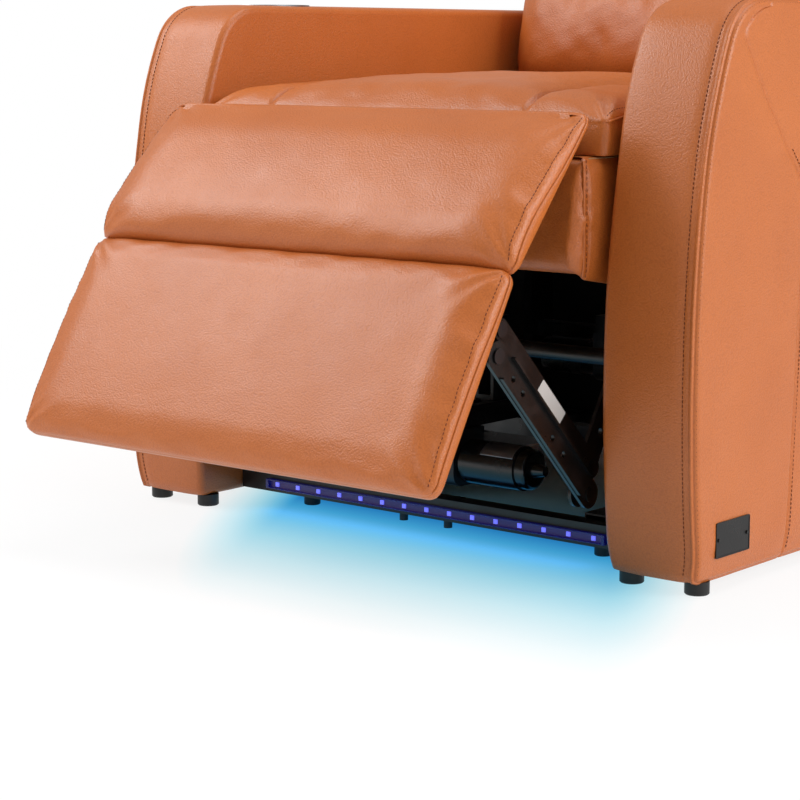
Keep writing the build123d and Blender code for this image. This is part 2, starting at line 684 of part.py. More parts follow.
# ---------------------------------------------------------------- soft forms
def loft_across(half, section, edge_swell=0.45, edge_trim=7.0):
    """Loft a pad across the chair: full in the middle, lower and drawn in at both sides."""
    fractions = (0.0, 0.5, 0.75, 0.9, 0.97, 1.0)
    stations = [-f for f in reversed(fractions[1:])] + list(fractions)
    faces = []
    for t in stations:
        swell = edge_swell + (1 - edge_swell) * (1 - abs(t) ** 7) ** 0.5
        faces.append(section(t * half, swell, edge_trim * abs(t) ** 8))
    with BuildPart() as pad:
        loft(faces, ruled=True)
    return pad


def pad_section(place, start, end, back, crown, roll, rise=7.0):
    """A pad on a board: flat back, two rolled ends and a crowned face between them."""
    def section(x, swell, trim):
        s0, s1 = start + trim, end - trim
        shoulder = back + (crown - rise) * swell
        face = shoulder + rise * swell
        wall = back + 0.3 * (shoulder - back)
        lift = wall + 0.7071 * (shoulder - wall)
        inset = 0.2929 * roll
        low0, low1 = at(place(s0, back)), at(place(s1, back))
        side0, side1 = at(place(s0, wall)), at(place(s1, wall))
        top0, top1 = at(place(s0 + roll, shoulder)), at(place(s1 - roll, shoulder))
        with BuildSketch(Plane.YZ.offset(x)) as sketch:
            with BuildLine():
                Polyline(side1, low1, low0, side0)
                ThreePointArc(side0, at(place(s0 + inset, lift)), top0)
                ThreePointArc(top0, at(place((s0 + s1) / 2, face)), top1)
                ThreePointArc(top1, at(place(s1 - inset, lift)), side1)
            make_face()
        return sketch.sketch
    return section


def build_flap():
    """The short upper panel of the footrest: board and pad."""
    end = FLAP_REACH - 5
    with BuildPart() as board:
        side_prism(-SEAT_BOX_HALF, SEAT_BOX_HALF, [
            on_flap(14, FLAP_BACK), on_flap(end, FLAP_BACK),
            on_flap(end, FLAP_BACK + BOX_BOARD), on_flap(14, FLAP_BACK + BOX_BOARD),
        ])
    write(board, "flap_board")
    back = FLAP_BACK + BOX_BOARD + SOFT_GAP
    section = pad_section(on_flap, 0, FLAP_REACH + 2, back, PAD_CROWN, 30)
    write(loft_across(PAD_HALF, section), "flap_cushion")


def build_ottoman():
    """The long lower panel of the footrest: board and pad."""
    with BuildPart() as board:
        side_prism(-SEAT_BOX_HALF, SEAT_BOX_HALF, [
            on_board(5, BOARD_BACK), on_board(BOARD_LENGTH, BOARD_BACK),
            on_board(BOARD_LENGTH, BOARD_BACK + BOX_BOARD),
            on_board(5, BOARD_BACK + BOX_BOARD),
        ])
    write(board, "ottoman_board")
    back = BOARD_BACK + BOX_BOARD + SOFT_GAP
    section = pad_section(on_board, 2, BOARD_LENGTH + 10, back, PAD_CROWN + 2, 38)
    write(loft_across(PAD_HALF, section), "ottoman_cushion")


def build_board_hinges():
    """Butt hinges between the two boards: a leaf on each and a pin through the knuckles."""
    knuckle, leaf, pin = BOARD_BACK, 2.0, 2.5
    width, joint_gap = 60.0, 0.4
    third = width / 3

    def leaf_part(on_panel, back, start, end, knuckle_spans, pinned):
        web = [BOARD_HINGE, on_panel(start, back - leaf), on_panel(start, back)]
        with BuildPart() as part:
            for middle in (-BUTT_HINGE_X, BUTT_HINGE_X):
                side_prism(middle - width / 2, middle + width / 2, [
                    on_panel(start, back), on_panel(end, back),
                    on_panel(end, back - leaf), on_panel(start, back - leaf),
                ])
                for low, high in knuckle_spans:
                    edges = (middle + low, middle + high)
                    extrude(discs(edges[0], [(BOARD_HINGE, knuckle)]), amount=high - low)
                    side_prism(*edges, web)
                    if not pinned:
                        bore = discs(edges[0], [(BOARD_HINGE, pin + PIN_CLEARANCE)])
                        extrude(bore, amount=high - low, mode=Mode.SUBTRACT)
                if pinned:
                    rod = discs(middle - width / 2, [(BOARD_HINGE, pin)])
                    extrude(rod, amount=width)
        return part

    outer = ((-width / 2, -third / 2 - joint_gap), (third / 2 + joint_gap, width / 2))
    flap_leaf = leaf_part(on_flap, FLAP_BACK, FLAP_REACH - 8, FLAP_REACH - 34, outer, True)
    write(flap_leaf, "flap_hinge_leaves")
    board_leaf = leaf_part(
        on_board, BOARD_BACK, 8, 34, ((-third / 2, third / 2),), False
    )
    write(board_leaf, "ottoman_hinge_leaves")


def on_link(along, beside):
    """A place on the main link, from its lower pivot."""
    run = (LINK_PIVOT[0] - LOWER_PIVOT[0], LINK_PIVOT[1] - LOWER_PIVOT[1])
    u, w = run[0] / LINK_LENGTH, run[1] / LINK_LENGTH
    return (LOWER_PIVOT[0] + along * u + beside * w, LOWER_PIVOT[1] + along * w - beside * u)


def build_linkage():
    """Carrier links, torque tube, main and upper links, board brackets and their pins."""
    end = LINK_WIDTH / 2
    small = UPPER_LINK_WIDTH / 2
    with BuildPart() as carriers:
        for _, side in SIDES:
            x = span(side, CARRIER_X, CARRIER_X + PLATE)[0]
            extrude(wrapped(x, [(CARRIER_PIVOT, end), (LOWER_PIVOT, end)]), amount=PLATE)
            extrude(wrapped(x, [
                (TORQUE_TUBE, TORQUE_TUBE_RADIUS + 5), ((104, 262), 8), ((68, 192), 8),
            ]), amount=PLATE)
            extrude(discs(x, [
                (CARRIER_PIVOT, PIN_RADIUS + PIN_CLEARANCE),
                (LOWER_PIVOT, PIN_RADIUS), (UPPER_PIVOT, PIN_RADIUS),
                ((54, 168), 4), ((44, 150), 4),
            ]), amount=PLATE, mode=Mode.SUBTRACT)
    write(carriers, "carrier_links")

    with BuildPart() as main_links:
        for _, side in SIDES:
            x = span(side, MAIN_LINK_X, MAIN_LINK_X + PLATE)[0]
            extrude(wrapped(x, [(LOWER_PIVOT, end), (LINK_PIVOT, end)]), amount=PLATE)
            holes = [(on_link(share * LINK_LENGTH, 0), 3.5) for share in (0.3, 0.42, 0.74, 0.84)]
            extrude(discs(x, [
                (LOWER_PIVOT, PIN_RADIUS + PIN_CLEARANCE),
                (LINK_PIVOT, PIN_RADIUS + OPEN_CLEARANCE), *holes,
            ]), amount=PLATE, mode=Mode.SUBTRACT)
            rib = span(side, MAIN_LINK_X + PLATE - 1, MAIN_LINK_X + PLATE + RIB_HEIGHT)
            for edge in (-1, 1):
                inside, outside = edge * (end - RIB), edge * (end - 0.6)
                side_prism(*rib, [
                    on_link(18, inside), on_link(LINK_LENGTH - 18, inside),
                    on_link(LINK_LENGTH - 18, outside), on_link(18, outside),
                ])
    write(main_links, "main_links")

    upper_specs = [(
        span(side, UPPER_LINK_X, UPPER_LINK_X + PLATE)[0], PLATE,
        [(UPPER_PIVOT, small), (LINK_PIVOT_2, small)],
        [(UPPER_PIVOT, PIN_RADIUS + PIN_CLEARANCE), (LINK_PIVOT_2, PIN_RADIUS + OPEN_CLEARANCE)],
    ) for _, side in SIDES]
    write(plates(*upper_specs), "upper_links")

    with BuildPart() as brackets:
        for _, side in SIDES:
            x = span(side, CARRIER_X, CARRIER_X + PLATE)[0]
            extrude(wrapped(x, [
                (LINK_PIVOT, small), (LINK_PIVOT_2, small),
                (on_board(33, BOARD_BACK - 3), 2.5), (on_board(119, BOARD_BACK - 3), 2.5),
            ]), amount=PLATE)
            extrude(discs(x, [
                (LINK_PIVOT, PIN_RADIUS), (LINK_PIVOT_2, PIN_RADIUS), (on_board(76, -12), 8),
            ]), amount=PLATE, mode=Mode.SUBTRACT)
            side_prism(*span(side, CARRIER_X + PLATE, CARRIER_X - 24), [
                on_board(30, BOARD_BACK), on_board(122, BOARD_BACK),
                on_board(122, BOARD_BACK - PLATE), on_board(30, BOARD_BACK - PLATE),
            ])
    write(brackets, "board_brackets")

    long_end = MAIN_LINK_X + PLATE + 0.4
    short_end = UPPER_LINK_X + PLATE + 0.3

    def pivot_pins(long_place, short_place):
        pins = []
        for _, side in SIDES:
            for place, outer, cap in ((long_place, long_end, 2.0), (short_place, short_end, 1.2)):
                pins.append((*span(side, CARRIER_X - 1.5, outer), place, PIN_RADIUS))
                pins.append((*span(side, outer, outer + cap), place, PIN_RADIUS + 3))
            collar = span(side, CARRIER_X + PLATE, MAIN_LINK_X - 0.4)
            pins.append((*collar, long_place, PIN_RADIUS + 1.5))
        return cross_pins(pins)

    write(pivot_pins(LOWER_PIVOT, UPPER_PIVOT), "carrier_pins")
    write(pivot_pins(LINK_PIVOT, LINK_PIVOT_2), "bracket_pins")
    tube = lever_with_pin(LEG_DRIVE_X, TORQUE_TUBE, TORQUE_TUBE_RADIUS, LEG_PIN)
    with tube:
        extrude(discs(-CARRIER_X, [(TORQUE_TUBE, TORQUE_TUBE_RADIUS)]), amount=2 * CARRIER_X)
        bore = discs(-CARRIER_X, [(TORQUE_TUBE, TORQUE_TUBE_RADIUS - TUBE_WALL)])
        extrude(bore, amount=2 * CARRIER_X, mode=Mode.SUBTRACT)
    write(tube, "torque_tube")


def lever_with_pin(x, shaft, shaft_radius, pin_place):
    """A lever welded on a cross tube or shaft, with the pin that works in a drive's fork."""
    with BuildPart() as lever:
        outline = wrapped(x - PLATE / 2, [(shaft, shaft_radius + 5), (pin_place, 10)])
        extrude(outline, amount=PLATE)
        pin_half = FORK_WIDTH / 2 + 1
        extrude(discs(x - pin_half, [(pin_place, PIN_RADIUS)]), amount=2 * pin_half)
    return lever


# ---------------------------------------------------------------- drives
def along_y(x, z, size, start, length, mode=Mode.ADD):
    """A rectangle, or a disc where the size is one number, carried rearwards."""
    with BuildSketch(Plane.XZ.offset(-(ARM_FRONT_Y + start))) as sketch:
        with Locations((x, z)):
            if isinstance(size, tuple):
                Rectangle(*size)
            else:
                Circle(size)
    extrude(sketch.sketch, amount=-length, mode=mode)


def build_track(name, x, z, start, length):
    """The drive's slotted track, with a bearing hole for the lead screw in each end cap."""
    with BuildPart() as track:
        along_y(x, z, (TRACK_WIDTH, TRACK_HEIGHT), start, length)
        hollow = (TRACK_WIDTH - 2 * TRACK_WALL, TRACK_HEIGHT - 2 * TRACK_WALL)
        along_y(x, z, hollow, start, length, mode=Mode.SUBTRACT)
        along_y(x, z + TRACK_HEIGHT / 2, (TRACK_SLOT, TRACK_HEIGHT / 2), start, length,
                mode=Mode.SUBTRACT)
        for end in (start - TRACK_CAP, start + length):
            along_y(x, z, (TRACK_WIDTH, TRACK_HEIGHT), end, TRACK_CAP)
            along_y(x, z, SCREW_RADIUS, end, TRACK_CAP, mode=Mode.SUBTRACT)
    write(track, f"{name}_track")


def build_carriage(name, x, z, pin_place, play, shift, slot_low, slot_high):
    """The nut block that runs on the screw, with a fork whose slots guide the lever's pin."""
    middle = pin_place[0] + shift
    start = middle - CARRIAGE_LENGTH / 2
    neck_low = z + TRACK_HEIGHT / 2 - TRACK_WALL - 1
    neck_high = z + TRACK_HEIGHT / 2 + 1
    table = 5.0
    with BuildPart() as carriage:
        block = (TRACK_WIDTH - 2 * TRACK_WALL - 0.6, TRACK_HEIGHT - 2 * TRACK_WALL - 0.6)
        along_y(x, z, block, start, CARRIAGE_LENGTH)
        along_y(x, (neck_low + neck_high) / 2, (TRACK_SLOT - 1, neck_high - neck_low + 1),
                start, CARRIAGE_LENGTH)
        along_y(x, neck_high + table / 2, (FORK_WIDTH, table), start, CARRIAGE_LENGTH)
        along_y(x, z, SCREW_RADIUS + PIN_CLEARANCE, start, CARRIAGE_LENGTH, mode=Mode.SUBTRACT)
        top = slot_high + PIN_RADIUS + 5
        for ear in (x - FORK_WIDTH / 2, x + FORK_WIDTH / 2 - PLATE):
            with BuildSketch(Plane.YZ.offset(ear)):
                with Locations(at((middle, (neck_high + top) / 2))):
                    Rectangle(CARRIAGE_LENGTH, top - neck_high)
                with Locations(at((middle, (slot_low + slot_high) / 2))):
                    slot_width = 2 * (PIN_RADIUS + play)
                    slot_height = slot_high - slot_low + slot_width
                    SlotOverall(slot_height, slot_width, rotation=90, mode=Mode.SUBTRACT)
            extrude(amount=PLATE)
    write(carriage, f"{name}_carriage")


def build_motor(name, x, z, behind, side):
    """Gearbox under the track's end, and its motor lying crosswise beside it."""
    low = z - TRACK_HEIGHT / 2
    axis = (behind, low - GEARBOX_HEIGHT + MOTOR_RADIUS + 3)
    with BuildPart() as gearbox:
        with Locations((x, ARM_FRONT_Y + behind, low - GEARBOX_HEIGHT / 2)):
            Box(GEARBOX_WIDTH, 2 * MOTOR_RADIUS + 6, GEARBOX_HEIGHT)
        lower = gearbox.edges().filter_by(Axis.X).group_by(Axis.Z)[0]
        fillet(lower, radius=16)
        boss_x = x - side * GEARBOX_WIDTH / 2
        extrude(discs(boss_x, [(axis, 20)]), amount=-side * 8)
        extrude(discs(boss_x - side * 8, [(axis, 13)]), amount=-side * 3)
    write(gearbox, f"{name}_gearbox")
    start = x + side * GEARBOX_WIDTH / 2
    with BuildPart() as motor:
        for radius, offset, length in (
            (MOTOR_RADIUS - 3, 0, 4), (MOTOR_RADIUS, 4, MOTOR_LENGTH),
            (MOTOR_RADIUS - 2, 4 + MOTOR_LENGTH, 14),
        ):
            extrude(discs(start + side * offset, [(axis, radius)]), amount=side * length)
        far = motor.faces().sort_by(Axis.X)[-1 if side > 0 else 0]
        fillet(far.edges(), radius=5)
        tip = start + side * (18 + MOTOR_LENGTH)
        extrude(discs(tip, [(axis, 9)]), amount=side * 14, taper=14)
    write(motor, f"{name}_motor")


def build_drives():
    """Both drives and the cross tubes that hold their tracks between the seat plates."""
    start = LEG_PIN[0] - radians(LEG_OPEN) * LEG_RATE - CARRIAGE_LENGTH / 2 - 6
    length = radians(LEG_OPEN + LEG_CLOSED) * LEG_RATE + CARRIAGE_LENGTH + 12
    build_track("leg", LEG_DRIVE_X, LEG_TRACK_Z, start, length)
    low, high = CARRIER_PIVOT[1] - LEG_LEVER, LEG_PIN[1] + 28
    build_carriage("leg", LEG_DRIVE_X, LEG_TRACK_Z, LEG_PIN, LEG_FORK_PLAY, LEG_FORK_SHIFT,
                   low, high)
    build_motor("leg", LEG_DRIVE_X, LEG_TRACK_Z, LEG_MOTOR_BEHIND, 1)
    screws = [(LEG_DRIVE_X, LEG_TRACK_Z, start, length)]

    reach = BACK_LEVER * 2 * sin(radians(BACK_LEVER_ANGLE))
    start = BACK_PIN[0] - reach - CARRIAGE_LENGTH / 2 - 60
    length = reach + CARRIAGE_LENGTH + 66
    build_track("back", BACK_DRIVE_X, BACK_TRACK_Z, start, length)
    low, high = BACK_PIVOT[1] - BACK_LEVER, BACK_PIN[1]
    build_carriage("back", BACK_DRIVE_X, BACK_TRACK_Z, BACK_PIN, BACK_FORK_PLAY, 0.0, low, high)
    build_motor("back", BACK_DRIVE_X, BACK_TRACK_Z, start + MOTOR_RADIUS + 3, -1)
    screws.append((BACK_DRIVE_X, BACK_TRACK_Z, start, length))
    with BuildPart() as lead_screws:
        for x, z, screw_start, screw_length in screws:
            along_y(x, z, SCREW_RADIUS, screw_start - TRACK_CAP, screw_length + 2 * TRACK_CAP)
    write(lead_screws, "lead_screws")
    with BuildPart() as cross_tubes:
        for behind, track_z in zip(UPRIGHTS_BEHIND, (LEG_TRACK_Z, BACK_TRACK_Z)):
            y = ARM_FRONT_Y + behind - DRIVE_TUBE / 2
            top = track_z - TRACK_HEIGHT / 2
            square_tube((-UPRIGHT_X, UPRIGHT_X), (y, y + DRIVE_TUBE), (top - DRIVE_TUBE, top))
    write(cross_tubes, "drive_tubes")


# ---------------------------------------------------------------- backrest
def back_prism(x0, x1, places, mode=Mode.ADD):
    """A side-plane profile given along the back, carried from x0 to x1."""
    side_prism(x0, x1, [on_back(up, ahead) for up, ahead in places], mode=mode)


def build_back():
    """Backrest: shaft, brackets, frame, rear shell and two cushions."""
    reach = CARRIER_X + PLATE + 3
    shaft = lever_with_pin(BACK_DRIVE_X, BACK_PIVOT, SHAFT_RADIUS, BACK_PIN)
    with shaft:
        extrude(discs(-reach, [(BACK_PIVOT, SHAFT_RADIUS)]), amount=2 * reach)
    write(shaft, "back_shaft")
    half_depth = BACK_POST_DEPTH / 2
    post_outer = CARRIER_X - 1
    bracket_specs = []
    for _, side in SIDES:
        x = min(side * post_outer, side * (post_outer + PLATE))
        bracket_specs.append((x, PLATE, [
            (BACK_PIVOT, 16), (on_back(BACK_BOTTOM + 10, 0), 14),
            (on_back(BACK_BOTTOM + 110, 0), 12),
        ], [(BACK_PIVOT, SHAFT_RADIUS), (on_back(BACK_BOTTOM - 28, 0), 8)]))
    write(plates(*bracket_specs), "back_brackets")
    frame_top = HEADREST_BOTTOM - 14
    with BuildPart() as frame:
        for side in (-1, 1):
            x = min(side * post_outer, side * (post_outer - BACK_POST))
            back_prism(x, x + BACK_POST, [
                (BACK_BOTTOM, -half_depth), (BACK_BOTTOM, half_depth),
                (frame_top, half_depth), (frame_top, -half_depth),
            ])
        inner = post_outer - BACK_POST
        for up in (BACK_BOTTOM, (BACK_BOTTOM + frame_top - 40) / 2, frame_top - 40):
            back_prism(BUTT_GAP - inner, inner - BUTT_GAP, [
                (up, -half_depth), (up, half_depth), (up + 40, half_depth), (up + 40, -half_depth),
            ])
    write(frame, "back_frame")
    shell_in = -half_depth - 0.5
    with BuildPart() as shell:
        shell_low = BACK_BOTTOM - 20
        back_prism(-CUSHION_HALF, CUSHION_HALF, [
            (shell_low, shell_in - BACK_SHELL), (shell_low, half_depth),
            (BACK_TOP, half_depth), (BACK_TOP, shell_in - BACK_SHELL),
        ])
        rear_edges = shell.edges().filter_by(
            lambda e: (e.center() - Vector(0, *at(on_back(400, shell_in - BACK_SHELL)))).dot(
                Vector(0, cos(radians(BACK_LEAN)), -sin(radians(BACK_LEAN)))) > -1
        )
        fillet(rear_edges, radius=10)
        wall = CUSHION_HALF - BACK_SHELL
        back_prism(-wall, wall, [
            (shell_low - 1, shell_in), (shell_low - 1, half_depth + 1),
            (BACK_TOP - BACK_SHELL, half_depth + 1), (BACK_TOP - BACK_SHELL, shell_in),
        ], mode=Mode.SUBTRACT)
    write(shell, "back_shell")


def build_back_cushions():
    """Two back cushions, one above the other."""
    front = BACK_POST_DEPTH / 2 + SOFT_GAP
    lumbar = pad_section(on_back, LUMBAR_BOTTOM, LUMBAR_TOP, front, BACK_CROWN, 40, 16)
    write(loft_across(CUSHION_HALF - 1, lumbar, 0.7), "lumbar_cushion")
    upper_range = (LUMBAR_TOP + 2, HEADREST_BOTTOM - 15)
    upper = pad_section(on_back, *upper_range, front, BACK_CROWN - 14, 40, 16)
    write(loft_across(CUSHION_HALF - 1, upper, 0.7), "upper_back_cushion")


def build_headrest():
    """Headrest that tips forward on two hinges carried by the top of the back frame."""
    pivot = on_back(*HEADREST_PIVOT)
    ring = 8.0
    frame_top = HEADREST_BOTTOM - 14
    board_low = HEADREST_BOTTOM + 62
    board_high = BACK_TOP - BACK_SHELL - 8
    board_back = BACK_POST_DEPTH / 2 - 3
    with BuildPart() as lugs:
        for _, side in SIDES:
            x = span(side, HEAD_HINGE_X, HEAD_HINGE_X - PLATE)[0]
            extrude(wrapped(x, [
                (pivot, ring), (on_back(frame_top + 3, 8), 3), (on_back(frame_top + 3, -8), 3),
            ]), amount=PLATE)
            ends = span(side, HEAD_HINGE_X - PLATE - 2, HEAD_HINGE_X + RING_GAP + PLATE + 2)
            extrude(discs(ends[0], [(pivot, PIN_RADIUS)]), amount=ends[1] - ends[0])
    write(lugs, "headrest_lugs")
    with BuildPart() as arms:
        for _, side in SIDES:
            x = span(side, HEAD_HINGE_X + RING_GAP, HEAD_HINGE_X + RING_GAP + PLATE)[0]
            strap_ends = [(on_back(up, board_back - 3), 3) for up in (board_low + 4, board_high - 4)]
            extrude(wrapped(x, [(pivot, ring), strap_ends[0]]), amount=PLATE)
            extrude(wrapped(x, strap_ends), amount=PLATE)
            hole = discs(x, [(pivot, PIN_RADIUS + PIN_CLEARANCE)])
            extrude(hole, amount=PLATE, mode=Mode.SUBTRACT)
    write(arms, "headrest_arms")
    half = CUSHION_HALF - 30
    with BuildPart() as board:
        back_prism(-half, half, [
            (board_low, board_back), (board_high, board_back),
            (board_high, board_back + BOX_BOARD), (board_low, board_back + BOX_BOARD),
        ])
        for _, side in SIDES:
            edges = span(side, HEAD_HINGE_X + RING_GAP - 0.1, HEAD_HINGE_X + RING_GAP + PLATE + 0.1)
            back_prism(*edges, [
                (board_low - 1, board_back - 1), (board_low + 40, board_back - 1),
                (board_low - 1, board_back + BOX_BOARD + 1),
            ], mode=Mode.SUBTRACT)
    write(board, "headrest_board")
    front = board_back + BOX_BOARD + SOFT_GAP
    head_range = (HEADREST_BOTTOM + 2, BACK_TOP + 8)
    head = pad_section(on_back, *head_range, front, HEADREST_CROWN - BOX_BOARD, 36, 14)
    cushion = loft_across(CUSHION_HALF - 16, head, 0.7)
    with cushion:
        for _, side in SIDES:
            edges = span(side, HEAD_HINGE_X - PLATE - 4, HEAD_HINGE_X + RING_GAP + PLATE + 4)
            back_prism(*edges, [
                (HEADREST_BOTTOM, front - 1), (HEADREST_BOTTOM + 100, front - 1),
                (HEADREST_BOTTOM + 60, HEADREST_PIVOT[1] + ring + 4),
                (HEADREST_BOTTOM, HEADREST_PIVOT[1] + ring + 4),
            ], mode=Mode.SUBTRACT)
    write(cushion, "headrest_cushion")


def build_seat_cushion():
    """Seat cushion: rolled front, crowned top, drawn-in sides and two long sewn channels."""
    low = STRAP_TOP + SOFT_GAP

    def section(x, swell, trim, drop=0.0):
        front, rear = SEAT_CUSHION_FRONT + trim + drop, SEAT_CUSHION_REAR - trim
        top = low + (SEAT_CROWN_Z - low) * swell - drop
        wall = low + 0.35 * (top - low)
        lift = wall + 0.7071 * (top - 6 - wall)
        p0, p1 = at((front, low)), at((rear, low))
        q0, q1 = at((front, wall)), at((rear, wall))
        r0, r1 = at((front + 40, top - 6)), at((rear - 30, top - 12))
        with BuildSketch(Plane.YZ.offset(x)) as sketch:
            with BuildLine():
                Polyline(q1, p1, p0, q0)
                ThreePointArc(q0, at((front + 0.2929 * 40, lift)), r0)
                ThreePointArc(r0, at((0.42 * (front + rear), top)), r1)
                ThreePointArc(r1, at((rear - 0.2929 * 30, lift - 4)), q1)
            make_face()
        return sketch.sketch

    reach = (SEAT_CUSHION_FRONT - 5, SEAT_CUSHION_REAR + 5)
    with BuildPart() as grooves:
        for side in (-1, 1):
            x = side * (CUSHION_HALF - CHANNEL_INSET) - CHANNEL_WIDTH / 2
            side_prism(x, x + CHANNEL_WIDTH, [
                (reach[0], low + 12), (reach[0], SEAT_CROWN_Z + 5),
                (reach[1], SEAT_CROWN_Z + 5), (reach[1], low + 12),
            ])
            below = section(x, 1.0, 0.0, CHANNEL_DEPTH)
            extrude(below, amount=CHANNEL_WIDTH, mode=Mode.SUBTRACT)
    pad = loft_across(CUSHION_HALF, section, 0.72)
    with pad:
        add(grooves.part, mode=Mode.SUBTRACT)
    write(pad, "seat_cushion")


for arm_name, arm_side in SIDES:
    build_arm(arm_name, arm_side)
build_arm_insides()
build_arm_feet()
build_badge()
build_controls()
build_base()
build_light()
build_seat_plates()
build_seat_frame()
build_hinge_lugs()
build_flap()
build_ottoman()
build_board_hinges()
build_linkage()
build_drives()
build_seat_cushion()
build_back()
build_back_cushions()
build_headrest()
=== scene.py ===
"""Dresses the cinema recliner seat: leather and stitching, steel linkage, light strip, studio.

Lengths are millimetres until a mesh is made.  A side-view place is (behind, height), with
behind counted from the front of the arms at their foot, as a maker's drawing gives it.
"""
from __future__ import annotations

import json
import logging
import math
from dataclasses import dataclass
from enum import Enum
from typing import Sequence

import bmesh
import bpy
import numpy as np
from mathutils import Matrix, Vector
from mathutils.bvhtree import BVHTree


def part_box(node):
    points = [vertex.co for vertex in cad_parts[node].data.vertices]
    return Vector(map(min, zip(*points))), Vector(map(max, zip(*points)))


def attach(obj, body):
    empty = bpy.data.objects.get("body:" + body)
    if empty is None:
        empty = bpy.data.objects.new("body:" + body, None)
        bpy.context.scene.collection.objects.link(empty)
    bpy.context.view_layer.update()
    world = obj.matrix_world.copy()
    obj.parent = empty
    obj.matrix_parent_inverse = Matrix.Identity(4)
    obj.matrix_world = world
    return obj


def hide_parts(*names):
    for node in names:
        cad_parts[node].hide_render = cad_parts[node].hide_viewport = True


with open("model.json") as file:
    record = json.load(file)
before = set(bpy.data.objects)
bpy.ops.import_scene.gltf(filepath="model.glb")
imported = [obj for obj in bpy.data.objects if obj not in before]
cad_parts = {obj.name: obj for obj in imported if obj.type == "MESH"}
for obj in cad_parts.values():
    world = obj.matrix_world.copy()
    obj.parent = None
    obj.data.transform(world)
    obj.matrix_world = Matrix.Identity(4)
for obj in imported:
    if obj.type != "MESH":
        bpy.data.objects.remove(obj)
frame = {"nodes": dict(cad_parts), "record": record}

Array = np.ndarray
MM = 0.001
ARM_FRONT = -288.8              # Y of the arms' front at their foot
FLAP_SLOPE = 50.2               # of the upper footrest panel at rest, in degrees
BOARD_SLOPE = 60.2              # of the lower one
BACK_LEAN = 14.0                # of the back, to the rear
log = logging.getLogger("recliner")


class Body(str, Enum):
    """The rigid bodies that a piece can ride on."""

    BASE = "base"
    FLAP = "flap"
    OTTOMAN = "ottoman"
    BACKREST = "backrest"
    HEADREST = "headrest"
    UPPER_LINKS = "upper_links"


class Slot(str, Enum):
    """The record's material slots that new pieces take their finish from."""

    LEATHER = "cognac_leather"
    PADDING = "padded_leather"
    BRIGHT = "bright_steel"


# ------------------------------------------------------------------------------ finishes
def linear(code: str) -> tuple[float, float, float, float]:
    """Turn an sRGB hex colour into the linear colour that shaders use.

    Args:
        code: six hex digits.

    Returns:
        Red, green, blue and an alpha of 1.
    """
    parts = [int(code[i:i + 2], 16) / 255 for i in (0, 2, 4)]
    r, g, b = (c / 12.92 if c <= 0.04045 else ((c + 0.055) / 1.055) ** 2.4 for c in parts)
    return (r, g, b, 1.0)


def plug(tree: bpy.types.NodeTree, node: bpy.types.Node, inputs: dict) -> None:
    """Set or link a node's inputs.

    Args:
        tree: the material's node tree.
        node: the node.
        inputs: values or output sockets for the node's inputs, by name or number.
    """
    for key, value in inputs.items():
        if isinstance(value, bpy.types.NodeSocket):
            tree.links.new(value, node.inputs[key])
        else:
            node.inputs[key].default_value = value


def put(tree: bpy.types.NodeTree, kind: str, inputs: dict | None = None,
        **settings: object) -> bpy.types.Node:
    """Add one node with its settings and links.

    Args:
        tree: the material's node tree.
        kind: the node's type name.
        inputs: values or output sockets for the node's inputs, by name or number.
        settings: the node's own properties.

    Returns:
        The new node.
    """
    node = tree.nodes.new(kind)
    for key, value in settings.items():
        setattr(node, key, value)
    plug(tree, node, inputs or {})
    return node


def blank(name: str) -> tuple[bpy.types.Material, bpy.types.NodeTree, bpy.types.Node,
                              bpy.types.NodeSocket]:
    """Start a material with only its surface shader.

    Args:
        name: the finish's name.

    Returns:
        The material, its node tree, its Principled node and the object's coordinates.
    """
    material = bpy.data.materials.new(name)
    material.use_nodes = True
    tree = material.node_tree
    place = put(tree, "ShaderNodeTexCoord").outputs["Object"]
    return material, tree, tree.nodes["Principled BSDF"], place


def blended(tree: bpy.types.NodeTree, factor: object, low: str, high: str):
    """Mix two sRGB hex colours by a factor socket and return the colour socket."""
    mix = put(tree, "ShaderNodeMix", {0: factor, 6: linear(low), 7: linear(high)}, data_type="RGBA")
    return mix.outputs[2]


def seen_by(tree: bpy.types.NodeTree, *rays: str) -> bpy.types.NodeSocket:
    """Tell any of some kinds of ray from all others.

    Args:
        tree: the node tree.
        rays: names of the Light Path's outputs.

    Returns:
        A socket that is 1 for a ray of those kinds and 0 for any other.
    """
    path = put(tree, "ShaderNodeLightPath")
    total = path.outputs[rays[0]]
    for ray in rays[1:]:
        total = put(tree, "ShaderNodeMath", {0: total, 1: path.outputs[ray]}, operation="ADD",
                    use_clamp=True).outputs[0]
    return total


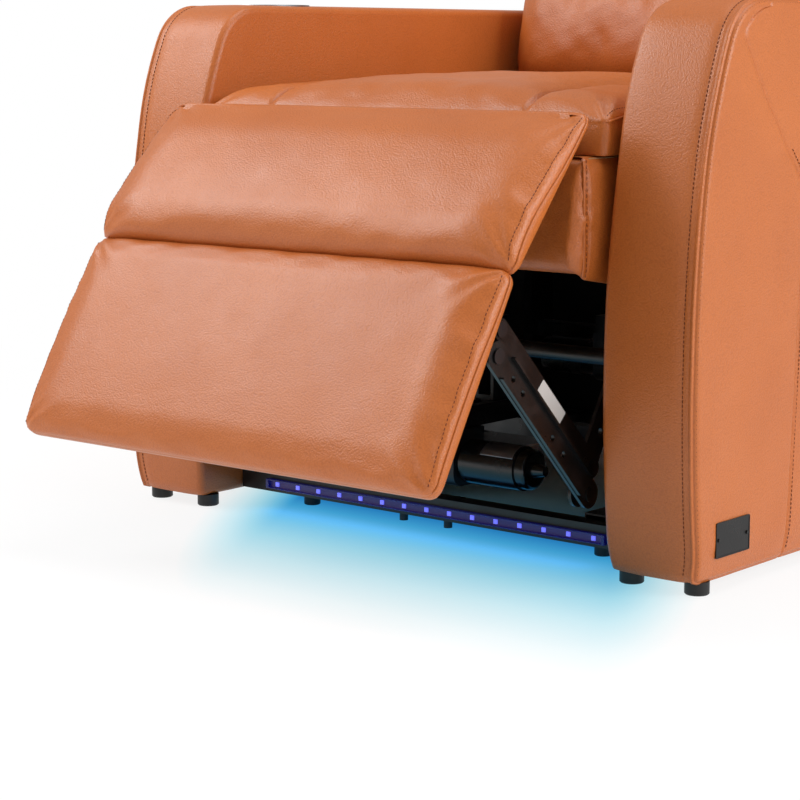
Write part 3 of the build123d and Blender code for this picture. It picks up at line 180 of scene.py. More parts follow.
@dataclass(frozen=True)
class GrainedLeather:
    """Cowhide, dyed through, pressed with a fine pebble grain and lacquered satin.

    To the eye: soft broad highlights broken by a tiny even grain, with slow drifts of
    colour from the dye and slightly duller, darker skin in the hollows of the grain.
    """

    name: str
    colour: str
    drift: str
    hollow: str
    roughness: float = 0.40
    grain: float = 1.7          # real pebbles are 1 mm; drawn coarser so that they show
    depth: float = 0.6
    hollow_share: float = 0.22  # how far the hollows take their own colour

    def build(self) -> bpy.types.Material:
        """Make the material."""
        material, tree, shader, place = blank(self.name)
        dye = put(tree, "ShaderNodeTexNoise", {"Vector": place, "Scale": 7.0, "Detail": 3.0})
        spread = put(tree, "ShaderNodeMapRange", {
            "Value": dye.outputs["Fac"], "From Min": 0.35, "From Max": 0.68})
        base = blended(tree, spread.outputs["Result"], self.drift, self.colour)
        pebble = put(tree, "ShaderNodeTexVoronoi", {
            "Vector": place, "Scale": 1000 / self.grain, "Randomness": 0.9},
            feature="SMOOTH_F1")
        crease = put(tree, "ShaderNodeMapRange", {
            "Value": pebble.outputs["Distance"], "From Min": 0.25, "From Max": 0.75})
        share = put(tree, "ShaderNodeMath", {0: crease.outputs["Result"], 1: self.hollow_share},
                    operation="MULTIPLY")
        skin = put(tree, "ShaderNodeMix", {
            0: share.outputs[0], 6: base, 7: linear(self.hollow)}, data_type="RGBA")
        rub = put(tree, "ShaderNodeTexNoise", {"Vector": place, "Scale": 26.0, "Detail": 4.0})
        gloss = put(tree, "ShaderNodeMapRange", {
            "Value": rub.outputs["Fac"], "From Min": 0.3, "From Max": 0.7,
            "To Min": self.roughness - 0.02, "To Max": self.roughness + 0.03})
        hide = put(tree, "ShaderNodeTexNoise", {
            "Vector": place, "Scale": 140.0, "Detail": 5.0, "Roughness": 0.6})
        soft = put(tree, "ShaderNodeBump", {
            "Height": hide.outputs["Fac"], "Strength": 0.05, "Distance": 0.0022})
        grain = put(tree, "ShaderNodeBump", {
            "Height": pebble.outputs["Distance"], "Strength": self.depth, "Distance": 0.0006,
            "Normal": soft.outputs["Normal"]}, invert=True)
        plug(tree, shader, {
            "Base Color": skin.outputs[2], "Roughness": gloss.outputs["Result"],
            "Normal": grain.outputs["Normal"], "IOR": 1.5, "Specular IOR Level": 0.55})
        return material


@dataclass(frozen=True)
class PowderCoat:
    """Sheet steel, sprayed with satin black powder and baked.

    To the eye: near black with a warm tint, a fine orange-peel skin and dusty bare spots.
    """

    name: str
    colour: str
    dust: str
    roughness: float = 0.36
    metallic: float = 0.0

    def build(self) -> bpy.types.Material:
        """Make the material."""
        material, tree, shader, place = blank(self.name)
        haze = put(tree, "ShaderNodeTexNoise", {"Vector": place, "Scale": 34.0, "Detail": 5.0})
        amount = put(tree, "ShaderNodeMapRange", {
            "Value": haze.outputs["Fac"], "From Min": 0.5, "From Max": 0.78})
        peel = put(tree, "ShaderNodeTexNoise", {"Vector": place, "Scale": 620.0, "Detail": 2.0})
        bump = put(tree, "ShaderNodeBump", {
            "Height": peel.outputs["Fac"], "Strength": 0.18, "Distance": 0.0005})
        rough = put(tree, "ShaderNodeMapRange", {
            "Value": haze.outputs["Fac"], "From Min": 0.3, "From Max": 0.75,
            "To Min": self.roughness - 0.06, "To Max": self.roughness + 0.14})
        plug(tree, shader, {
            "Base Color": blended(tree, amount.outputs["Result"], self.colour, self.dust),
            "Normal": bump.outputs["Normal"], "Roughness": rough.outputs["Result"],
            "Metallic": self.metallic})
        return material


@dataclass(frozen=True)
class PlatedSteel:
    """Steel rod and sheet, zinc-plated or brushed.

    To the eye: grey metal with fine lines along the way it was drawn or brushed.
    """

    name: str
    colour: str
    lines: tuple[float, float, float] = (20.0, 900.0, 900.0)
    roughness: float = 0.34

    def build(self) -> bpy.types.Material:
        """Make the material."""
        material, tree, shader, place = blank(self.name)
        drawn = put(tree, "ShaderNodeMapping", {"Vector": place, "Scale": self.lines})
        lines = put(tree, "ShaderNodeTexNoise", {
            "Vector": drawn.outputs["Vector"], "Scale": 1.0, "Detail": 3.0})
        rough = put(tree, "ShaderNodeMapRange", {
            "Value": lines.outputs["Fac"], "To Min": self.roughness - 0.1,
            "To Max": self.roughness + 0.16})
        bump = put(tree, "ShaderNodeBump", {
            "Height": lines.outputs["Fac"], "Strength": 0.15, "Distance": 0.0003})
        plug(tree, shader, {
            "Base Color": linear(self.colour), "Metallic": 1.0,
            "Roughness": rough.outputs["Result"], "Normal": bump.outputs["Normal"]})
        return material


@dataclass(frozen=True)
class MouldedPlastic:
    """Injection-moulded ABS or rubber with a spark-eroded texture.

    To the eye: an even fine sparkle on a dull or glossy skin.
    """

    name: str
    colour: str
    roughness: float = 0.48
    texture: float = 0.25
    clear: float = 0.0
    # emission: on a diode the strip's own light; on the board and the clear cover a painted glow of
    # the diodes' light
    glow: str = "000000"
    glow_strength: float = 0.0

    def build(self) -> bpy.types.Material:
        """Make the material."""
        material, tree, shader, place = blank(self.name)
        spark = put(tree, "ShaderNodeTexNoise", {"Vector": place, "Scale": 1400.0, "Detail": 2.0})
        bump = put(tree, "ShaderNodeBump", {
            "Height": spark.outputs["Fac"], "Strength": self.texture, "Distance": 0.0003})
        cloud = put(tree, "ShaderNodeTexNoise", {"Vector": place, "Scale": 40.0})
        rough = put(tree, "ShaderNodeMapRange", {
            "Value": cloud.outputs["Fac"], "To Min": self.roughness - 0.06,
            "To Max": self.roughness + 0.08})
        plug(tree, shader, {
            "Base Color": linear(self.colour), "Transmission Weight": self.clear,
            "Normal": bump.outputs["Normal"], "Roughness": rough.outputs["Result"],
            "Emission Color": linear(self.glow), "Emission Strength": self.glow_strength})
        return material


@dataclass(frozen=True)
class Plywood:
    """Birch plywood, sawn and left bare.

    To the eye: pale straw wood with long soft figure across the width and dull pores.
    """

    name: str
    colour: str
    figure: str

    def build(self) -> bpy.types.Material:
        """Make the material."""
        material, tree, shader, place = blank(self.name)
        along = put(tree, "ShaderNodeMapping", {"Vector": place, "Scale": (4.0, 60.0, 60.0)})
        rings = put(tree, "ShaderNodeTexNoise", {
            "Vector": along.outputs["Vector"], "Scale": 1.0, "Detail": 6.0, "Distortion": 0.6})
        bump = put(tree, "ShaderNodeBump", {
            "Height": rings.outputs["Fac"], "Strength": 0.3, "Distance": 0.0005})
        plug(tree, shader, {
            "Base Color": blended(tree, rings.outputs["Fac"], self.colour, self.figure),
            "Normal": bump.outputs["Normal"], "Roughness": 0.68})
        return material


@dataclass(frozen=True)
class WovenCloth:
    """Synthetic webbing, thread or non-woven lining in one dyed colour.

    To the eye: a matt surface with threads crossing at a fixed pitch.
    """

    name: str
    colour: str
    thread: float = 1.6

    def build(self) -> bpy.types.Material:
        """Make the material."""
        material, tree, shader, place = blank(self.name)
        warp, weft = (put(tree, "ShaderNodeTexWave", {
            "Vector": place, "Scale": 500 / self.thread}, bands_direction=axis) for axis in "XY")
        cross = put(tree, "ShaderNodeMath", {0: warp.outputs["Fac"], 1: weft.outputs["Fac"]},
                    operation="MULTIPLY")
        bump = put(tree, "ShaderNodeBump", {
            "Height": cross.outputs[0], "Strength": 0.5, "Distance": 0.0006})
        plug(tree, shader, {"Base Color": linear(self.colour), "Roughness": 0.85,
                            "Normal": bump.outputs["Normal"]})
        return material


@dataclass(frozen=True)
class StudioFloor:
    """Pale painted studio floor, washed blue under the light strip.

    To the eye: almost white, taking soft shadows, with a painted pool of light that is deep
    blue along the strip and fades through cyan to white with the distance from it.  Away from
    the chair the floor is plain white to the camera, and under it only the lamps count.
    """

    name: str
    strip: tuple[float, float, float]       # the strip's middle x, its y and its half length
    reach: tuple[float, float]              # how far the pool fades beyond its ends and ahead
    lean: float = 0.6                       # sideways drift to the right for each step ahead
    # colours of the painted pool of light, from the strip outwards
    deep: str = "2A88CB"
    fading: tuple[tuple[float, str], ...] = (
        (0.1, "45ABE0"), (0.25, "79CAEB"), (0.42, "A9E1F2"), (0.62, "D3F2FA"), (0.84, "F2FCFE"))
    shadow: tuple[float, float, float] = (0.84, 0.75, 1.7)      # white's least share, its ring
    shaded: tuple[float, float, float] = (0.145, 0.33, 0.26)    # middle y, half width and depth

    def pool(self, tree: bpy.types.NodeTree, place: bpy.types.NodeSocket) -> bpy.types.NodeSocket:
        """The floor's colour: a ramp over the leaned distance from the strip's line.

        Args:
            tree: the material's node tree.
            place: the object's coordinates.

        Returns:
            The colour socket.
        """
        # painted light: the strip's glow on the floor is painted as a colour ramp over the distance
        # from the strip
        (cx, cy, half), (lx, ly) = ([v * MM for v in row] for row in (self.strip, self.reach))
        ahead = put(tree, "ShaderNodeSeparateXYZ", {"Vector": place}).outputs["Y"]
        drift = put(tree, "ShaderNodeMath", {0: ahead, 1: self.lean, 2: -cy * self.lean},
                    operation="MULTIPLY_ADD")
        spot = put(tree, "ShaderNodeCombineXYZ", {"X": drift.outputs[0]}).outputs["Vector"]
        for operation, value in (
                ("ADD", place), ("SUBTRACT", (cx, cy, 0)), ("ABSOLUTE", (0, 0, 0)),
                ("SUBTRACT", (half, 0, 0)), ("MAXIMUM", (0, 0, 0)),
                ("MULTIPLY", (1 / lx, 1 / ly, 0))):
            spot = put(tree, "ShaderNodeVectorMath", {0: spot, 1: value},
                       operation=operation).outputs["Vector"]
        away = put(tree, "ShaderNodeVectorMath", {0: spot}, operation="LENGTH")
        ramp = put(tree, "ShaderNodeValToRGB", {"Fac": away.outputs["Value"]})
        stops = ramp.color_ramp.elements
        stops[0].color, stops[1].color = linear(self.deep), linear("FFFFFF")
        for position, code in self.fading:
            stops.new(position).color = linear(code)
        return ramp.outputs["Color"]

    def build(self) -> bpy.types.Material:
        """Make the material."""
        material, tree, shader, place = blank(self.name)
        # tint holds the painted pool of light; it colours both the shaded floor and the floor's
        # emission
        tint = self.pool(tree, place)
        plug(tree, shader, {"Base Color": tint, "Roughness": 0.6, "Specular IOR Level": 0.1})
        seen = seen_by(tree, "Is Camera Ray", "Is Glossy Ray", "Is Transmission Ray")
        around = put(tree, "ShaderNodeVectorMath", {0: place}, operation="LENGTH")
        least, near, far = self.shadow
        white = put(tree, "ShaderNodeMapRange", {
            "Value": around.outputs["Value"], "From Min": near, "From Max": far,
            "To Min": least, "To Max": 1.0}, interpolation_type="SMOOTHSTEP")
        middle, wide, long = self.shaded
        under = put(tree, "ShaderNodeMapping", {
            "Vector": place, "Location": (0, -middle / long, 0), "Scale": (1 / wide, 1 / long, 0)})
        under = put(tree, "ShaderNodeVectorMath", {0: under.outputs["Vector"]},
                    operation="ABSOLUTE")
        sides = put(tree, "ShaderNodeSeparateXYZ", {"Vector": under.outputs["Vector"]})
        outer = put(tree, "ShaderNodeMath", {0: sides.outputs["X"], 1: sides.outputs["Y"]},
                    operation="MAXIMUM")
        open_air = put(tree, "ShaderNodeMapRange", {
            "Value": outer.outputs[0], "From Min": 0.9, "From Max": 1.05})
        share = seen
        for part in (white, open_air):
            share = put(tree, "ShaderNodeMath", {0: share, 1: part.outputs["Result"]},
                        operation="MULTIPLY").outputs[0]
        plain = put(tree, "ShaderNodeEmission", {"Color": tint, "Strength": 1.0})
        mixed = put(tree, "ShaderNodeMixShader", {
            0: share, 1: shader.outputs["BSDF"], 2: plain.outputs["Emission"]})
        plug(tree, tree.nodes["Material Output"], {"Surface": mixed.outputs[0]})
        return material


# ------------------------------------------------------------------------------ surfaces
def quads(rows: int, cols: int, start: int = 0, wrap: bool = False) -> Array:
    """Join neighbours of a rows by cols grid of points into four-sided faces.

    Args:
        rows: points along the first direction.
        cols: points along the second direction.
        start: number of the grid's first point.
        wrap: whether the last column joins the first.

    Returns:
        An array with four point numbers for each face.
    """
    i = np.arange(rows - 1)[:, None]
    j = np.arange(cols if wrap else cols - 1)[None, :]
    k = (j + 1) % cols
    faces = np.stack([i * cols + j, i * cols + k, (i + 1) * cols + k, (i + 1) * cols + j], -1)
    return faces.reshape(-1, 4) + start


def rim(rows: int, cols: int) -> Array:
    """Numbers of a grid's rim: its first row, up the last column, and back round."""
    return np.concatenate([
        np.arange(cols), np.arange(1, rows) * cols + cols - 1,
        (rows - 1) * cols + np.arange(cols - 2, 0, -1), np.arange(rows - 1, 0, -1) * cols])


def mesh_piece(name: str, points: Array, faces: Array, finish: bpy.types.Material,
               smooth: bool = True, mend: bool = True) -> bpy.types.Object:
    """Put points and faces into a mesh object in metres.

    Args:
        name: the piece's name.
        points: places in millimetres, one row each, with behind already turned to Y.
        faces: point numbers, one face a row.
        finish: the material.
        smooth: whether faces are shaded smooth.
        mend: whether doubled points are merged and the faces turned outwards.

    Returns:
        The object, at the origin.
    """
    mesh = bpy.data.meshes.new(name)
    mesh.vertices.add(len(points))
    mesh.vertices.foreach_set("co", (np.asarray(points) * MM).astype(np.float32).ravel())
    mesh.loops.add(faces.size)
    mesh.loops.foreach_set("vertex_index", faces.astype(np.int32).ravel())
    mesh.polygons.add(len(faces))
    starts = np.arange(0, faces.size, faces.shape[1], dtype=np.int32)
    mesh.polygons.foreach_set("loop_start", starts)
    mesh.update(calc_edges=True)
    mesh.polygons.foreach_set("use_smooth", [smooth] * len(mesh.polygons))
    mesh.materials.append(finish)
    piece = bpy.data.objects.new(name, mesh)
    bpy.context.scene.collection.objects.link(piece)
    if mend:
        tidy_mesh(piece)
    return piece


def tidy_mesh(piece: bpy.types.Object) -> None:
    """Merge doubled points, drop faces without area and turn the rest outwards."""
    work = bmesh.new()
    work.from_mesh(piece.data)
    bmesh.ops.remove_doubles(work, verts=work.verts, dist=2e-6)
    bmesh.ops.dissolve_degenerate(work, edges=work.edges, dist=1e-7)
    bmesh.ops.recalc_face_normals(work, faces=work.faces)
    work.to_mesh(piece.data)
    work.free()
    piece.data.validate()


def waves(points: Array, length: float, seed: int, count: int = 14) -> Array:
    """Irregular smooth waves: sines along seeded random directions, added and scaled.

    Args:
        points: places in millimetres.
        length: usual wavelength in millimetres.
        seed: number that fixes the pattern.
        count: how many sines are added.

    Returns:
        One height for each place, mostly between -1 and 1.
    """
    rng = np.random.default_rng(seed)
    way = rng.normal(size=(3, count))
    way *= 2 * math.pi / length / rng.uniform(0.6, 1.7, count) / np.linalg.norm(way, axis=0)
    return np.sin(points @ way + rng.uniform(0, 7, count)).sum(-1) / math.sqrt(count) / 1.2


def graded(breaks: Sequence[float], steps: Sequence[float]) -> Array:
    """Places along a line, spaced as told between each two breaks.

    Args:
        breaks: rising distances.
        steps: about how far apart the places are in each stretch.

    Returns:
        Rising distances from the first break to the last.
    """
    runs = [
        np.linspace(a, b, max(2, int(round((b - a) / step)) + 1))[:-1]
        for a, b, step in zip(breaks[:-1], breaks[1:], steps)
    ]
    return np.concatenate([*runs, [breaks[-1]]])


def resampled(path: Array, spacing: float) -> Array:
    """Walk a path of points at even spacing, by linear steps along its length."""
    gaps = np.linalg.norm(np.diff(path, axis=0), axis=1)
    run = np.concatenate([[0], np.cumsum(gaps)])
    count = max(2, int(run[-1] / spacing) + 1)
    want = np.linspace(0, run[-1], count)
    return np.stack([np.interp(want, run, path[:, k]) for k in range(3)], -1)


def tube_mesh(path: Array, radius: float, sides: int = 10) -> tuple[Array, Array]:
    """A round cord: circles of one radius set square to a path, closed at both ends.

    Args:
        path: centre line, one place a row.
        radius: the cord's radius.
        sides: corners of each circle.

    Returns:
        Points and four-sided faces.
    """
    way = np.gradient(path, axis=0)
    way /= np.linalg.norm(way, axis=1, keepdims=True)
    up = np.tile([0.31, 0.17, 0.94], (len(path), 1))
    one = np.cross(way, up)
    one /= np.linalg.norm(one, axis=1, keepdims=True)
    two = np.cross(way, one)
    turn = np.linspace(0, 2 * math.pi, sides, endpoint=False)
    ring = one[:, None] * np.cos(turn)[:, None] + two[:, None] * np.sin(turn)[:, None]
    body = path[:, None] + radius * ring
    points = np.concatenate([
        np.repeat(path[:1], sides, 0), body.reshape(-1, 3), np.repeat(path[-1:], sides, 0)])
    return points, quads(len(path) + 2, sides, wrap=True)


def stitch_mesh(path: Array, normal: Array, pitch: float = 5.6, length: float = 4.2,
                thick: float = 0.62) -> tuple[Array, Array]:
    """A row of thread stitches: small rounded beads laid end to end on a path.

    Args:
        path: the seam line on the surface.
        normal: outward direction at each path place, or one for all.
        pitch: from one stitch to the next.
        length: length of a stitch.
        thick: radius of the thread.

    Returns:
        Points and four-sided faces of all the stitches.
    """
    middles = resampled(path, pitch)
    way = np.gradient(middles, axis=0)
    way /= np.linalg.norm(way, axis=1, keepdims=True)
    normal = np.broadcast_to(normal, path.shape)
    share = np.linspace(0, 1, len(middles))
    spots = np.linspace(0, 1, len(path))
    out = np.stack([np.interp(share, spots, normal[:, k]) for k in range(3)], -1)
    side = np.cross(way, out)
    side /= np.linalg.norm(side, axis=1, keepdims=True)
    stations = np.array([-0.5, -0.42, 0.0, 0.42, 0.5]) * length
    swell = np.array([0.0, 0.75, 1.0, 0.75, 0.0]) * thick
    sink = np.array([-0.5, -0.15, 0.3, -0.15, -0.5]) * thick
    turn = np.linspace(0, 2 * math.pi, 6, endpoint=False)
    centre = middles[:, None] + way[:, None] * stations[:, None] + out[:, None] * sink[:, None]
    ring = (side[:, None, None] * np.cos(turn)[:, None] + out[:, None, None]
            * np.sin(turn)[:, None]) * swell[:, None, None]
    points = (centre[:, :, None] + ring).reshape(-1, 3)
    one = quads(5, 6, wrap=True)
    faces = (one[None] + (np.arange(len(middles)) * 30)[:, None, None]).reshape(-1, 4)
    return points, faces


def joined(parts: Sequence[tuple[Array, Array]]) -> tuple[Array, Array]:
    """Gather several sets of points and faces into one."""
    offsets = np.cumsum([0] + [len(points) for points, _ in parts[:-1]])
    points = np.concatenate([points for points, _ in parts])
    faces = np.concatenate([faces + offset for (_, faces), offset in zip(parts, offsets)])
    return points, faces


def settle(piece: bpy.types.Object, body: Body, slot: Slot, *nodes: str) -> bpy.types.Object:
    """Give a piece its body and hide the plain solids that it stands for."""
    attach(piece, body.value)
    if nodes:
        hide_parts(*nodes)
    log.info("%s rides on %s", piece.name, body.value)
    return piece


# ------------------------------------------------------------------------------ cushions
@dataclass(frozen=True)
class Panel:
    """A flat panel's own axes in the side view: along it, and ahead of it."""

    origin: tuple[float, float]
    along: tuple[float, float]
    ahead: tuple[float, float]

    @classmethod
    def sloping(cls, origin: tuple[float, float], slope: float) -> Panel:
        """A panel that runs down to the front at a slope in degrees."""
        a = math.radians(slope)
        return cls(origin, (-math.cos(a), -math.sin(a)), (-math.sin(a), math.cos(a)))

    @classmethod
    def leaning(cls, origin: tuple[float, float], lean: float) -> Panel:
        """A panel that stands up and leans to the rear by some degrees."""
        a = math.radians(lean)
        return cls(origin, (math.sin(a), math.cos(a)), (-math.cos(a), math.sin(a)))

    def place(self, x: Array, along: Array, ahead: Array) -> Array:
        """Places in the chair's frame for distances across, along and ahead of the panel."""
        y = ARM_FRONT + self.origin[0] + along * self.along[0] + ahead * self.ahead[0]
        z = self.origin[1] + along * self.along[1] + ahead * self.ahead[1]
        return np.stack(np.broadcast_arrays(x, y, z), -1)

    def normal(self) -> Array:
        """The direction ahead of the panel."""
        return np.array([0.0, self.ahead[0], self.ahead[1]])


@dataclass
class Cushion:
    """One upholstered pad: a crowned face, rolled edges, a sewn side wall and a flat back.

    The face's height is the product of two rolls, one from each pair of edges, where a
    roll rises as a quarter of an ellipse from the side seam's curve to a crown that falls
    off as a square law from its highest line.  Sewn channels, gathers along the side
    seams and puckers that fan out of the corners are added to it.  Cloth simulation then
    inflates the face between the pinned seams.
    """

    name: str
    body: Body
    panel: Panel
    half: float
    start: float
    end: float
    base: float                 # the board's face
    seam: Sequence[tuple[float, float]]             # side seam as (along, height)
    crown: float                # height of the face at its highest line
    high_line: float = 0.5      # where that line lies, as a share of the length
    fall: float = 5.0           # drop of the crown half a length away from that line
    bow: float = 5.0            # drop of the crown at the sides
    roll_side: float = 36.0
    roll_ends: tuple[float, float] = (34.0, 34.0)
    draw_in: float = 4.0
    fill: float = 0.8
    corner_round: float = 9.0   # radius of the outline's corners
    back: float = 0.0           # where the side wall ends behind the board's face
    lip: float = 0.0            # width of the hem turned over the board's back
    board_half: float = 0.0
    channels: Sequence[float] = ()
    cross_channels: Sequence[float] = ()
    channel_depth: float = 7.0
    pucker: float = 1.3
    gather: float = 0.6         # height of the short folds that the side seams pull
    wrinkle: float = 0.5
    swell: float = 6.0          # the most that simulation may move a point
    seed: int = 3
    slot: Slot = Slot.PADDING
    replaces: Sequence[str] = ()

    def stations(self, coarse: bool = False) -> tuple[Array, Array]:
        """Distances across and along the pad, closer together on the rolls and channels.

        Args:
            coarse: whether the places are spread out, as simulation needs them.

        Returns:
            The distances across and the distances along.
        """
        steps = 7 if coarse else 15
        share = np.linspace(0, 1, steps)
        share = 0.25 * share + 0.75 * share ** 2 if coarse else 0.12 * share + 0.88 * share ** 2
        left = self.roll_side * share - self.half
        offsets = (-8, 0, 8) if coarse else (-9, -6, -4, -2, 0, 2, 4, 6, 9)
        extra = [c + d for c in self.channels for d in offsets]
        across = graded([left[-1], -left[-1]], [11.0 if coarse else 5.0])
        x = np.concatenate([left, across, -left, extra])
        head = self.start + self.roll_ends[0] * share
        tail = self.end - self.roll_ends[1] * share
        extra = [c + d for c in self.cross_channels for d in offsets]
        along = graded([head[-1], max(tail[-1], head[-1] + 1)], [9.0 if coarse else 4.5])
        s = np.concatenate([head, along, tail, extra])
        least = 3.0 if coarse else 0.4
        return self.thinned(x, least), self.thinned(s, least)

    @staticmethod
    def thinned(places: Array, least: float) -> Array:
        """Sorted places, both ends kept, without any that follows another too closely."""
        places = np.sort(places)
        kept = [places[0]]
        for place in places[1:-1]:
            if place - kept[-1] >= least and places[-1] - place >= least:
                kept.append(place)
        return np.array([*kept, places[-1]])

    @staticmethod
    def rise(distance: Array, roll: float) -> Array:
        """Quarter of an ellipse: 0 at an edge, 1 from the roll's width inwards."""
        share = np.clip(distance / roll, 0, 1)
        return np.sqrt(np.clip(1 - (1 - share) ** 2, 0, 1))

    def seam_height(self, s: Array) -> Array:
        """Height of the side seam: straight runs between its places, rounded by averaging."""
        spots, heights = zip(*self.seam)
        reach = 0.07 * (self.end - self.start)
        shifts = np.linspace(-reach, reach, 9)
        return np.mean([np.interp(s + shift, spots, heights) for shift in shifts], 0)

    def face(self, x: Array, s: Array) -> tuple[Array, Array, Array]:
        """Height of the face over the panel, and where the drawn-in outline moves its places.

        Args:
            x: distance across for each place.
            s: distance along for each place.

        Returns:
            The moved x, the moved s and the height.
        """
        middle, reach = (self.start + self.end) / 2, (self.end - self.start) / 2
        u, v = x / self.half, (s - middle) / reach
        high = 2 * self.high_line - 1
        across = self.rise(self.half - np.abs(x), self.roll_side)
        up = self.rise(s - self.start, self.roll_ends[0])
        down = self.rise(self.end - s, self.roll_ends[1])
        soft = across * up * down
        seam = self.seam_height(s)
        top = self.crown - self.fall * (v - high) ** 2 - self.bow * u ** 2
        height = seam + (top - seam) * soft
        place = self.panel.place(x, s, height)
        height = height + self.wrinkle * waves(place, 70.0, self.seed) * soft
        height += 0.35 * self.wrinkle * waves(place * [1, 1.6, 1.6], 26.0, self.seed + 1) * soft
        edge = self.half - np.abs(x)
        pull = np.exp(-(edge / 24.0) ** 2) * np.clip(edge / 5.0, 0, 1)
        folds = waves(np.stack([np.sign(x) * 40, s + 0.4 * edge, 0 * s], -1), 19.0, self.seed + 2)
        height += self.gather * pull * folds * np.clip(3 * up * down, 0, 1)
        for corner_x in (-1, 1):
            for corner_s in (self.start, self.end):
                dx = (x - corner_x * self.half) * corner_x
                ds = s - corner_s
                near = np.exp(-(np.hypot(dx, ds) / 48.0) ** 2)
                fan = np.arctan2(np.abs(ds) + 6, np.abs(dx) + 6)
                ripple = np.sin(fan * 13 + 0.02 * dx + self.seed)
                height += self.pucker * near * ripple * np.clip(2 * soft, 0, 1)
        for c in self.channels:
            height -= self.channel_depth * np.exp(-((x - c) / 4.0) ** 2) * up * down
            height -= 0.5 * self.channel_depth * np.exp(-np.abs(x - c) / 16.0) * up * down
        for c in self.cross_channels:
            height -= self.channel_depth * np.exp(-((s - c) / 5.0) ** 2) * across
            height -= 0.9 * self.channel_depth * np.exp(-np.abs(s - c) / 20.0) * across
        x = x - self.draw_in * u * (1 - v ** 2) * 0.25
        r = self.corner_round
        a = np.clip((np.abs(x) - self.half) / r + 1, 0, 1)
        b = np.clip((np.abs(s - middle) - reach) / r + 1, 0, 1)
        x = x - np.sign(x) * r * a * (1 - np.sqrt(1 - b * b / 2))
        s = s - np.sign(s - middle) * r * b * (1 - np.sqrt(1 - a * a / 2))
        return x, s, height

    def shape(self, coarse: bool = False) -> tuple[Array, Array, Array]:
        """Face, side wall, hem and back as one closed skin.

        Args:
            coarse: whether to use the coarser places that simulation needs.

        Returns:
            Points, faces, and for each point how free it is to swell, from 0 to 1.
        """
        xs, ss = self.stations(coarse)
        s, x = np.meshgrid(ss, xs, indexing="ij")
        rows, cols = x.shape
        fx, fs, fh = self.face(x, s)
        front = self.panel.place(fx, fs, fh).reshape(-1, 3)
        inner = np.minimum(np.minimum(self.half - np.abs(x), s - self.start), self.end - s)
        free = np.clip(inner / 9.0, 0, 1)
        for line, places in ((x, self.channels), (s, self.cross_channels)):
            for c in places:
                free = np.minimum(free, np.clip(np.abs(line - c) / 8.0, 0, 1))
        edge = rim(rows, cols)
        ex, es, eh = (v.reshape(-1)[edge] for v in (fx, fs, fh))
        middle = (self.start + self.end) / 2
        flat_x, flat_s = x.reshape(-1)[edge], s.reshape(-1)[edge]
        side_x = np.sign(flat_x) * (np.abs(flat_x) > self.half - 1e-6)
        side_s = np.sign(flat_s - middle) * ((flat_s < self.start + 1e-6)
                                             | (flat_s > self.end - 1e-6))
        rings: list[tuple[float, float, Array | float]] = []
        floor = self.back if self.back else self.base
        wall = eh - floor
        for share, puff in ((0.06, -0.9), (0.14, -0.2), (0.3, 0.5), (0.6, 0.4), (0.9, -0.2)):
            rings.append((-puff, -puff * 0.6, eh - wall * share))
        if self.back:
            hem, end_hem = self.lip, 3.0
            gap = self.half - self.board_half
            rings += [
                (1.2, 0.8, self.back - 1.2), (4.0, 1.5, self.back - 1.6),
                (hem, end_hem, self.back - 1.4), (hem, end_hem, self.back - 0.15),
                (gap - 0.3, end_hem + 1, self.back - 0.15),
                (gap - 0.3, end_hem + 1, self.base - 0.3),
            ]
        else:
            rings += [(1.0, 0.6, self.base + 0.05), (3.0, 2.0, self.base + 0.05)]
        points, faces = [front], [quads(rows, cols)]
        count, previous = rows * cols, edge
        size = len(edge)
        for inset_x, inset_s, height in rings:
            ring = self.panel.place(
                ex - side_x * inset_x, es - side_s * inset_s, np.broadcast_to(height, ex.shape))
            number = np.arange(size) + count
            faces.append(np.stack([
                previous, number, np.roll(number, -1), np.roll(previous, -1)], -1))
            points.append(ring)
            previous, count = number, count + size
        last = rings[-1]
        shrink_x = (self.half - last[0]) / self.half
        reach = (self.end - self.start) / 2
        shrink_s = (reach - last[1]) / reach
        level = self.base - 0.3 if self.back else self.base + 0.05
        rear = self.panel.place(fx * shrink_x, middle + (fs - middle) * shrink_s,
                                np.full(fx.shape, level)).reshape(-1, 3)
        rear[edge] = points[-1]
        faces.append(quads(rows, cols, start=count)[:, ::-1])
        points.append(rear)
        points = np.concatenate(points)
        free = np.concatenate([free.reshape(-1), np.zeros(len(points) - rows * cols)])
        return points, np.concatenate(faces), free

